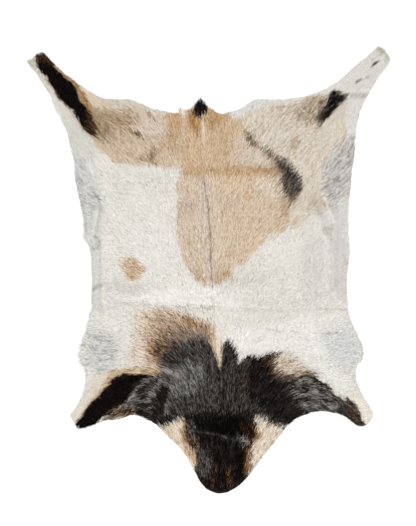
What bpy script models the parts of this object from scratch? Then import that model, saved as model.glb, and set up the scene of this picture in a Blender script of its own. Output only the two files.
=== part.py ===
"""A goatskin rug: one tanned hide with its coat on, lying hair side up on a floor.

Frame: metres, +Z up. The origin is on the floor, under the middle of the hide's bounding box. +Y runs
along the back towards the tail, and +X to the right of the hide as seen from above. The tables below are
in millimetres.
"""

import math
from typing import NamedTuple

import bmesh
import bpy
import numpy as np
from mathutils import Vector, geometry, noise

MM = 0.001

HIDE_LENGTH = 896.0
HIDE_WIDTH = 728.0
LEATHER_THICKNESS = 1.3
COAT_DEPTH = 3.0
BACK_COAT_EXTRA = 1.0
BACK_COAT_REACH = 110.0
RIM_COAT_DEPTH = 0.7
RIM_TAPER = 22.0
LOCK_DEPTH = 0.45
LOCK_WIDTH = 16.0
LOCK_LENGTH = 42.0
CURL_WIDTH = 46.0
SWELL_HEIGHT = 5.0
SWELL_LENGTH = 190.0
SWELL_START = 0.26

HAIR_TIP_REACH = 1.2
HAIR_TIP_WIDTH = 11.0
FOLD_END_SHARE = 0.2

EDGE_STEP = 9.0
COARSE_STEP = 22.0
FINE_STEP = COARSE_STEP / 2
FINE_EDGE_ROOM = 7.0
FOLD_MARGIN = 4.0
CURVE_STEPS = 6
POINT_TOLERANCE = 0.01
TRIANGLES_INSIDE = 1

HAIR_TIP_SLICE = 0.0
SWELL_SLICE = 3.0
LOCK_SLICE = 7.0


class EdgePoint(NamedTuple):
    """A point on the hide's edge, and whether the edge turns sharply there."""

    across: float
    along: float
    sharp: bool = False


class Fold(NamedTuple):
    """A fold or furrow: its line, its reach to each side, its lift off the floor and the coat's parting."""

    line: tuple
    reach: float
    lift: float
    parting: float


class Patch(NamedTuple):
    """A round or oval place on the hide, and a depth or height that is greatest at its middle."""

    across: float
    along: float
    half_width: float
    half_length: float
    amount: float


TAIL = (
    EdgePoint(-76, 315),
    EdgePoint(-62, 313),
    EdgePoint(-57, 323, True),
    EdgePoint(-48, 318),
    EdgePoint(-34, 322),
    EdgePoint(-27, 330),
    EdgePoint(-15, 343, True),
    EdgePoint(-9, 335),
    EdgePoint(2, 324),
    EdgePoint(14, 318),
)
RIGHT_HIND_LEG = (
    EdgePoint(24, 311),
    EdgePoint(40, 315),
    EdgePoint(60, 321),
    EdgePoint(80, 333),
    EdgePoint(96, 341),
    EdgePoint(124, 340),
    EdgePoint(184, 345),
    EdgePoint(224, 358),
    EdgePoint(256, 376),
    EdgePoint(282, 398),
    EdgePoint(320, 431),
    EdgePoint(338, 448, True),
    EdgePoint(352, 439),
    EdgePoint(364, 420, True),
    EdgePoint(345, 393),
    EdgePoint(323, 356),
    EdgePoint(308, 328),
)
RIGHT_FLANK = (
    EdgePoint(298, 292),
    EdgePoint(294, 260),
    EdgePoint(291, 226),
    EdgePoint(286, 196),
    EdgePoint(284, 160),
    EdgePoint(280, 120),
    EdgePoint(280, 68),
    EdgePoint(282, 40),
    EdgePoint(278, 0),
    EdgePoint(276, -28),
    EdgePoint(278, -64),
    EdgePoint(283, -98),
    EdgePoint(294, -122),
)
RIGHT_FORELEG = (
    EdgePoint(307, -150),
    EdgePoint(310, -170),
    EdgePoint(306, -181),
    EdgePoint(296, -194),
    EdgePoint(294, -208),
    EdgePoint(300, -234),
    EdgePoint(314, -260),
    EdgePoint(330, -285, True),
    EdgePoint(324, -300),
    EdgePoint(312, -312, True),
    EdgePoint(302, -314),
    EdgePoint(284, -302),
    EdgePoint(264, -289),
    EdgePoint(240, -284),
    EdgePoint(216, -283),
    EdgePoint(196, -289),
    EdgePoint(168, -304),
)
NECK = (
    EdgePoint(154, -320),
    EdgePoint(132, -347),
    EdgePoint(102, -386),
    EdgePoint(78, -418),
    EdgePoint(56, -437),
    EdgePoint(32, -448),
    EdgePoint(8, -446),
    EdgePoint(-10, -434),
    EdgePoint(-26, -410),
    EdgePoint(-40, -382),
    EdgePoint(-56, -360),
    EdgePoint(-86, -330),
    EdgePoint(-104, -312),
)
LEFT_FORELEG = (
    EdgePoint(-124, -299),
    EdgePoint(-144, -290),
    EdgePoint(-164, -294),
    EdgePoint(-186, -300),
    EdgePoint(-206, -301),
    EdgePoint(-232, -312),
    EdgePoint(-260, -319, True),
    EdgePoint(-277, -290, True),
    EdgePoint(-258, -264),
    EdgePoint(-246, -232),
    EdgePoint(-246, -204),
    EdgePoint(-257, -182),
)
LEFT_FLANK = (
    EdgePoint(-260, -172),
    EdgePoint(-250, -140),
    EdgePoint(-239, -104),
    EdgePoint(-232, -76),
    EdgePoint(-233, -52),
    EdgePoint(-232, -26),
    EdgePoint(-234, 16),
    EdgePoint(-237, 46),
    EdgePoint(-248, 63, True),
    EdgePoint(-248, 92),
    EdgePoint(-258, 144),
    EdgePoint(-266, 180),
    EdgePoint(-268, 210),
    EdgePoint(-276, 248),
)
LEFT_HIND_LEG = (
    EdgePoint(-288, 286),
    EdgePoint(-306, 320),
    EdgePoint(-316, 346),
    EdgePoint(-336, 381),
    EdgePoint(-364, 417, True),
    EdgePoint(-350, 423, True),
    EdgePoint(-344, 431),
    EdgePoint(-330, 436),
    EdgePoint(-316, 421),
    EdgePoint(-296, 402),
    EdgePoint(-272, 382),
    EdgePoint(-240, 360),
    EdgePoint(-212, 344),
    EdgePoint(-180, 341),
    EdgePoint(-152, 340),
    EdgePoint(-126, 328),
    EdgePoint(-100, 320),
)
EDGE = TAIL + RIGHT_HIND_LEG + RIGHT_FLANK + RIGHT_FORELEG + NECK + LEFT_FORELEG + LEFT_FLANK + LEFT_HIND_LEG

FOLDS = {
    "belly crease": Fold(((-168, -66), (0, -72), (150, -74), (280, -79)), 22, 3.4, 0.9),
    "chest crease": Fold(((112, -118), (206, -126), (296, -130)), 20, 3.0, 0.7),
    "left rib fold": Fold(((-218, -26), (-176, -34), (-118, -52)), 20, 3.2, 0.8),
    "left belly fold": Fold(((-214, 140), (-219, 60), (-214, -70)), 24, 3.6, 0.6),
    "right belly fold": Fold(((244, 84), (246, 20), (242, -60)), 24, 3.4, 0.6),
    "right hip fold": Fold(((228, 162), (238, 124), (246, 96)), 20, 2.6, 0.6),
    "loin ridge": Fold(((0, 201), (80, 203), (162, 197)), 20, 2.2, 0.6),
    "back furrow": Fold(((-11, 205), (1, 140), (0, 30), (6, -90), (22, -200)), 14, 0.0, 1.3),
    "neck crest": Fold(((-34, -334), (30, -332), (90, -326)), 24, 7.0, 0.0),
    "neck furrow": Fold(((-36, -306), (30, -312), (96, -302)), 12, 0.0, 2.0),
    "left thigh fold": Fold(((-226, 300), (-276, 356), (-318, 400)), 26, 3.2, 0.5),
    "right thigh fold": Fold(((222, 316), (280, 372), (330, 420)), 26, 3.4, 0.5),
    "left shoulder fold": Fold(((-150, -214), (-200, -256), (-248, -292)), 26, 3.0, 0.5),
    "right shoulder fold": Fold(((226, -214), (270, -252), (304, -292)), 26, 3.0, 0.5),
}
CURLS = (
    Patch(-350, 424, 60, 60, 5.0),
    Patch(350, 434, 60, 60, 6.0),
    Patch(-270, -306, 60, 60, 4.5),
    Patch(318, -300, 60, 60, 5.0),
    Patch(20, -446, 80, 50, 4.0),
    Patch(-240, 50, 50, 160, 5.0),
    Patch(284, 20, 50, 140, 4.0),
    Patch(-15, 334, 40, 40, 3.0),
    Patch(140, 346, 90, 40, 3.0),
    Patch(-160, 346, 80, 40, 2.5),
)
THIN_COATS = (
    Patch(-236, 140, 40, 100, 1.6),
    Patch(262, 206, 48, 90, 1.5),
    Patch(-222, -162, 40, 60, 1.2),
    Patch(262, -170, 44, 50, 1.2),
    Patch(-225, 55, 9, 9, 1.0),
    Patch(239, 84, 9, 9, 1.0),
)


def clear_scene():
    """Remove the objects that the new file or an earlier run left behind."""
    for old in list(bpy.data.objects):
        bpy.data.objects.remove(old, do_unlink=True)


def smooth_edge():
    """Draw the hide's edge as a closed curve through its points, and return that curve in millimetres."""
    curve = bpy.data.curves.new("edge", "CURVE")
    curve.dimensions = "2D"
    curve.fill_mode = "NONE"
    curve.resolution_u = CURVE_STEPS
    spline = curve.splines.new("BEZIER")
    spline.bezier_points.add(len(EDGE) - 1)
    spline.use_cyclic_u = True
    for knot, point in zip(spline.bezier_points, EDGE):
        knot.co = (point.across, point.along, 0)
        kind = "VECTOR" if point.sharp else "AUTO"
        knot.handle_left_type = kind
        knot.handle_right_type = kind
    guide = bpy.data.objects.new("edge", curve)
    bpy.context.scene.collection.objects.link(guide)
    bpy.context.view_layer.update()
    drawn = guide.to_mesh()
    points = [vertex.co.xy.copy() for vertex in drawn.vertices]
    guide.to_mesh_clear()
    bpy.data.objects.remove(guide, do_unlink=True)
    return points


def even_steps(points, step):
    """Return points at even steps round a closed line, keeping each corner that the steps would cut off."""
    closed = np.array([tuple(point) for point in points + points[:1]])
    lengths = np.linalg.norm(np.diff(closed, axis=0), axis=1)
    travelled = np.concatenate([[0.0], np.cumsum(lengths)])
    count = round(travelled[-1] / step)
    places = np.linspace(0, travelled[-1], count, endpoint=False)
    for corner in (point for point in EDGE if point.sharp):
        gap = np.hypot(closed[:, 0] - corner.across, closed[:, 1] - corner.along)
        corner_place = travelled[int(gap.argmin())]
        places[int(np.abs(places - corner_place).argmin())] = corner_place
    across = np.interp(places, travelled, closed[:, 0])
    along = np.interp(places, travelled, closed[:, 1])
    return np.stack([across, along], axis=1)


def uneven(places, width, length, slice_height):
    """Return a smooth uneven height from about -1 to 1 at each place, from a slice of a fixed noise field."""
    spots = [Vector((across / width, along / length, slice_height)) for across, along in places]
    return np.array([noise.noise(spot) for spot in spots])


def hair_tipped(edge):
    """Move an even edge in and out by the reach of the hair tips, which end in uneven tufts."""
    ahead = np.roll(edge, -1, axis=0) - np.roll(edge, 1, axis=0)
    outward = np.stack([-ahead[:, 1], ahead[:, 0]], axis=1)
    outward /= np.linalg.norm(outward, axis=1, keepdims=True)
    tufts = uneven(edge, HAIR_TIP_WIDTH, HAIR_TIP_WIDTH, HAIR_TIP_SLICE)
    return edge + outward * HAIR_TIP_REACH * tufts[:, None]


def fitted(edge):
    """Centre the edge on the origin and bring it to the hide's stated width and length, within 1% of its own."""
    low, high = edge.min(axis=0), edge.max(axis=0)
    return (edge - (low + high) / 2) * np.array([HIDE_WIDTH, HIDE_LENGTH]) / (high - low)


def distance_to_line(places, line, closed=False):
    """Return each place's distance from a line of straight pieces, and how far along it the nearest point is.

    The second number runs from 0 at the line's start to 1 at its end.
    """
    ends = np.array(line, float)
    ends = np.vstack([ends, ends[:1]]) if closed else ends
    starts, spans = ends[:-1], np.diff(ends, axis=0)
    lengths = np.linalg.norm(spans, axis=1)
    before = np.concatenate([[0.0], np.cumsum(lengths)])
    best = np.full(len(places), np.inf)
    reached = np.zeros(len(places))
    for start, span, length, done in zip(starts, spans, lengths, before):
        share = np.clip((places - start) @ span / length**2, 0, 1)
        away = np.linalg.norm(places - start - share[:, None] * span, axis=1)
        nearer = away < best
        best[nearer] = away[nearer]
        reached[nearer] = ((done + share * length) / before[-1])[nearer]
    return best, reached


def inside(places, edge):
    """Tell which places lie inside a closed edge, by counting the crossings on a line to their right."""
    after = np.roll(edge, -1, axis=0)
    crossings = np.zeros(len(places), int)
    for (x0, y0), (x1, y1) in zip(edge, after):
        spans = (y0 > places[:, 1]) != (y1 > places[:, 1])
        at = x0 + (places[:, 1] - y0) * (x1 - x0) / (y1 - y0 if y1 != y0 else 1)
        crossings += spans & (places[:, 0] < at)
    return crossings % 2 == 1


def soft_step(values):
    """Ease values from 0 to 1 with level ends, and hold them there outside that range."""
    held = np.clip(values, 0, 1)
    return held * held * (3 - 2 * held)


def fold_share(places, fold):
    """Return how much of a fold each place has: 1 on its line, easing to 0 at its reach and its ends."""
    away, reached = distance_to_line(places, fold.line)
    fades = soft_step(np.minimum(reached, 1 - reached) / FOLD_END_SHARE)
    return soft_step(1 - away / fold.reach) * fades


def patch_share(places, patch):
    """Return how much of a patch each place has: 1 at its middle, easing to 0 at its rim."""
    across = (places[:, 0] - patch.across) / patch.half_width
    along = (places[:, 1] - patch.along) / patch.half_length
    return soft_step(1 - np.hypot(across, along))


def three_way_lattice(step):
    """Return places in rows at 60 degrees to each other, a step apart, over the hide's whole bounding box."""
    row_height = step * math.sqrt(3) / 2
    rows = math.ceil(HIDE_LENGTH / 2 / row_height)
    columns = math.ceil(HIDE_WIDTH / 2 / step) + 1
    places = [
        ((column + row % 2 / 2) * step, row * row_height)
        for row in range(-rows, rows + 1)
        for column in range(-columns, columns + 1)
    ]
    return np.array(places)


def inner_places(edge):
    """Return the places inside the edge where the hide's height is worked out, closer together near folds."""
    coarse = three_way_lattice(COARSE_STEP)
    fine = three_way_lattice(FINE_STEP)
    near_fold = np.zeros(len(fine), bool)
    for fold in FOLDS.values():
        near_fold |= distance_to_line(fine, fold.line)[0] < fold.reach + FOLD_MARGIN
    kept = []
    for places, room in ((coarse, EDGE_STEP), (fine[near_fold], FINE_EDGE_ROOM)):
        held = places[inside(places, edge)]
        kept.append(held[distance_to_line(held, edge, closed=True)[0] > room])
    return np.vstack(kept)


def floor_lift(places, rim_distance):
    """Return how far the flesh side stands off the floor, in millimetres: 0 where the hide lies flat."""
    lift = np.zeros(len(places))
    for fold in FOLDS.values():
        lift = np.maximum(lift, fold.lift * fold_share(places, fold))
    near_rim = soft_step(1 - rim_distance / CURL_WIDTH)
    for curl in CURLS:
        lift = np.maximum(lift, curl.amount * patch_share(places, curl) * near_rim)
    swells = np.clip(uneven(places, SWELL_LENGTH, SWELL_LENGTH, SWELL_SLICE) - SWELL_START, 0, None)
    return lift + SWELL_HEIGHT * swells * soft_step(rim_distance / CURL_WIDTH)


def coat_depth(places, rim_distance):
    """Return the coat's depth over the leather, in millimetres: deepest on the back and thin at the rim."""
    depth = np.full(len(places), COAT_DEPTH)
    depth += BACK_COAT_EXTRA * soft_step(1 - np.abs(places[:, 0]) / BACK_COAT_REACH)
    for patch in THIN_COATS:
        depth -= patch.amount * patch_share(places, patch)
    for fold in FOLDS.values():
        depth -= fold.parting * fold_share(places, fold) ** 2
    depth += LOCK_DEPTH * uneven(places, LOCK_WIDTH, LOCK_LENGTH, LOCK_SLICE)
    taper = soft_step(rim_distance / RIM_TAPER)
    return RIM_COAT_DEPTH + (depth - RIM_COAT_DEPTH) * taper


def spread_hide(edge):
    """Join the edge and the inner places into triangles, and return the places and each triangle's corners."""
    flat_points = [Vector(place) for place in np.vstack([edge, inner_places(edge)])]
    around = list(range(len(edge)))
    points, _, triangles, *_ = geometry.delaunay_2d_cdt(
        flat_points, [], [around], TRIANGLES_INSIDE, POINT_TOLERANCE
    )
    return np.array([tuple(point) for point in points]), triangles


def flesh_side(edge):
    """Build the hide's underside as an open sheet, with shares of the full thickness in a vertex group.

    Returns the sheet's mesh and the full thickness in millimetres.
    """
    places, triangles = spread_hide(edge)
    rim_distance = distance_to_line(places, edge, closed=True)[0]
    heights = floor_lift(places, rim_distance)
    thicknesses = LEATHER_THICKNESS + coat_depth(places, rim_distance)
    full = float(thicknesses.max())
    sheet = bmesh.new()
    weights = sheet.verts.layers.deform.verify()
    corners = []
    for (across, along), height, thickness in zip(places, heights, thicknesses):
        corner = sheet.verts.new(Vector((across, along, height)) * MM)
        corner[weights][0] = thickness / full
        corners.append(corner)
    for triangle in triangles:
        sheet.faces.new([corners[index] for index in triangle])
    bmesh.ops.recalc_face_normals(sheet, faces=sheet.faces)
    if sheet.faces[0].normal.z < 0:
        bmesh.ops.reverse_faces(sheet, faces=sheet.faces)
    mesh = bpy.data.meshes.new("goatskin")
    sheet.to_mesh(mesh)
    sheet.free()
    return mesh, full


def coat_material():
    """Return the coat's average finish: cream and fawn goat hair, dry and without gloss."""
    material = bpy.data.materials.new("goat hair")
    material.use_nodes = True
    shader = material.node_tree.nodes["Principled BSDF"]
    shader.inputs["Base Color"].default_value = (0.56, 0.47, 0.36, 1)
    shader.inputs["Roughness"].default_value = 0.85
    shader.inputs["Metallic"].default_value = 0.0
    return material


def make_goatskin(collection):
    """Build the hide: its underside as drawn, and the leather and coat grown upwards from it."""
    edge = fitted(hair_tipped(even_steps(smooth_edge(), EDGE_STEP)))
    mesh, full_thickness = flesh_side(edge)
    mesh.materials.append(coat_material())
    goatskin = bpy.data.objects.new("goatskin", mesh)
    collection.objects.link(goatskin)
    goatskin.vertex_groups.new(name="thickness")
    thicken = goatskin.modifiers.new("leather and coat", "SOLIDIFY")
    thicken.thickness = full_thickness * MM
    thicken.offset = 1
    thicken.vertex_group = "thickness"
    return goatskin


def main():
    """Build the goatskin in a collection of its own."""
    clear_scene()
    collection = bpy.data.collections.new("goatskin")
    bpy.context.scene.collection.children.link(collection)
    make_goatskin(collection)


main()
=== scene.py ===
"""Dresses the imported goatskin: one thin tanned hide laid flat, with its whole coat of short straight hair.

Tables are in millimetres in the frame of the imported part: x to the right, y towards the tail, from the
middle of the hide's box. Blender's lengths are metres, and MM turns one into the other.
"""

import logging
import math
from dataclasses import dataclass, field
from enum import Enum
from typing import Any, NamedTuple

import bmesh
import bpy
import numpy as np
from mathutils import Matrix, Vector
from mathutils.bvhtree import BVHTree
from mathutils.geometry import delaunay_2d_cdt


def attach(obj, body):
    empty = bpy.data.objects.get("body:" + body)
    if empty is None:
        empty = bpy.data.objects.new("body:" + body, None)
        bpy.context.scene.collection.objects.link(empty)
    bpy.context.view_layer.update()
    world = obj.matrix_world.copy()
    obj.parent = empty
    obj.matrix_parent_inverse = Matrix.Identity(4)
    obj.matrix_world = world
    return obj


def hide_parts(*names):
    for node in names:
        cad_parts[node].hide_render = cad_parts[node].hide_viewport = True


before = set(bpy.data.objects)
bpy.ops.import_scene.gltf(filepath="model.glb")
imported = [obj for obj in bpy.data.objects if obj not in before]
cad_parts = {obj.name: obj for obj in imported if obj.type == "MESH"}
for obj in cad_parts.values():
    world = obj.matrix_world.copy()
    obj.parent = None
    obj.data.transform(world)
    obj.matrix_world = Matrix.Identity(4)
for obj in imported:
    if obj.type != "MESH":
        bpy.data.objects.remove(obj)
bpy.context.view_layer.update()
LOG = logging.getLogger("goatskin")

Rows = np.ndarray  # one point or value to a row
Tree = bpy.types.NodeTree
Socket = bpy.types.NodeSocket

MM = 0.001
NODE = "goatskin"
BODY = "root"
TRIANGLES_INSIDE = 1  # the outline's own triangles only, from delaunay_2d_cdt
RIPPLE_CELLS = 128  # ripple() repeats after so many bumps
RIPPLE_SHIFT = 1000  # where on its lattice ripple() starts
RIPPLE_SPREAD = 0.4  # about the standard deviation of ripple()
TINY = 1e-9  # keeps a division from zero
SHORT = 1e-6  # the same for lengths in millimetres
POINTS_PER_HAIR = 4  # root, left and right of the middle, tip
ROOT, TIP = 0, 3


def read_points(text: str) -> Rows:
    """Reads an outline or a line, written as "x,y x,y" in millimetres, into rows of x and y."""
    return np.array([pair.split(",") for pair in text.split()], float)


class Marking(NamedTuple):
    """One patch of the coat's colour, or of painted shade or painted highlight laid on it.

    share is the part of its hairs in the accent tone, cover the most hairs it takes, soft the width in
    which its edge fades, and ragged how far that edge wanders.
    """

    name: str
    tone: str
    accent: str
    share: float
    cover: float
    soft: float
    ragged: float
    outline: str


class Stroke(NamedTuple):
    """A thin line of colour, or of painted shade or painted highlight, girth to either side of its line; the
    other columns are a marking's.
    """

    name: str
    tone: str
    accent: str
    share: float
    cover: float
    girth: float
    soft: float
    line: str


class Crease(NamedTuple):
    """A line where the hide was folded, or where a teat stands up.

    bite is the share of hairs that stop there, rise how far the skin stands up along it and width how
    wide that is.
    """

    name: str
    bite: float
    rise: float
    width: float
    line: str


class FoldShade(NamedTuple):
    """A soft line of painted shade or painted highlight that a small fold casts on the coat, lighter there by
    light, or darker below 0.
    """

    name: str
    light: float
    width: float
    line: str


class Growth(NamedTuple):
    """A part of the hide whose hair is longer or shorter, thicker or thinner, than the back's."""

    name: str
    length: float
    thickness: float
    soft: float
    outline: str


class Whiskers(NamedTuple):
    """A stretch of rim where hair stands out past the skin, by overhang at most.

    reach is how far from the line that has faded to a half.
    """

    name: str
    overhang: float
    reach: float
    line: str


class Combed(NamedTuple):
    """A place where thin hair lies in long strands, each of one tone."""

    name: str
    soft: float
    outline: str


class Part(Enum):
    """The hair's pieces, from the tail to the neck, with the lowest y of each and the seed of its hairs."""

    RUMP = ("hair_rump_and_hind_legs", 222.0, 11)
    LOIN = ("hair_loin", 88.0, 12)
    RIBS = ("hair_ribs", -56.0, 13)
    SHOULDERS = ("hair_shoulders", -196.0, 14)
    NECK = ("hair_neck_and_forelegs", -600.0, 15)

    def __init__(self, piece: str, lowest: float, seed: int) -> None:
        """Gives the three values their names."""
        self.piece, self.lowest, self.seed = piece, lowest, seed


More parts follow.
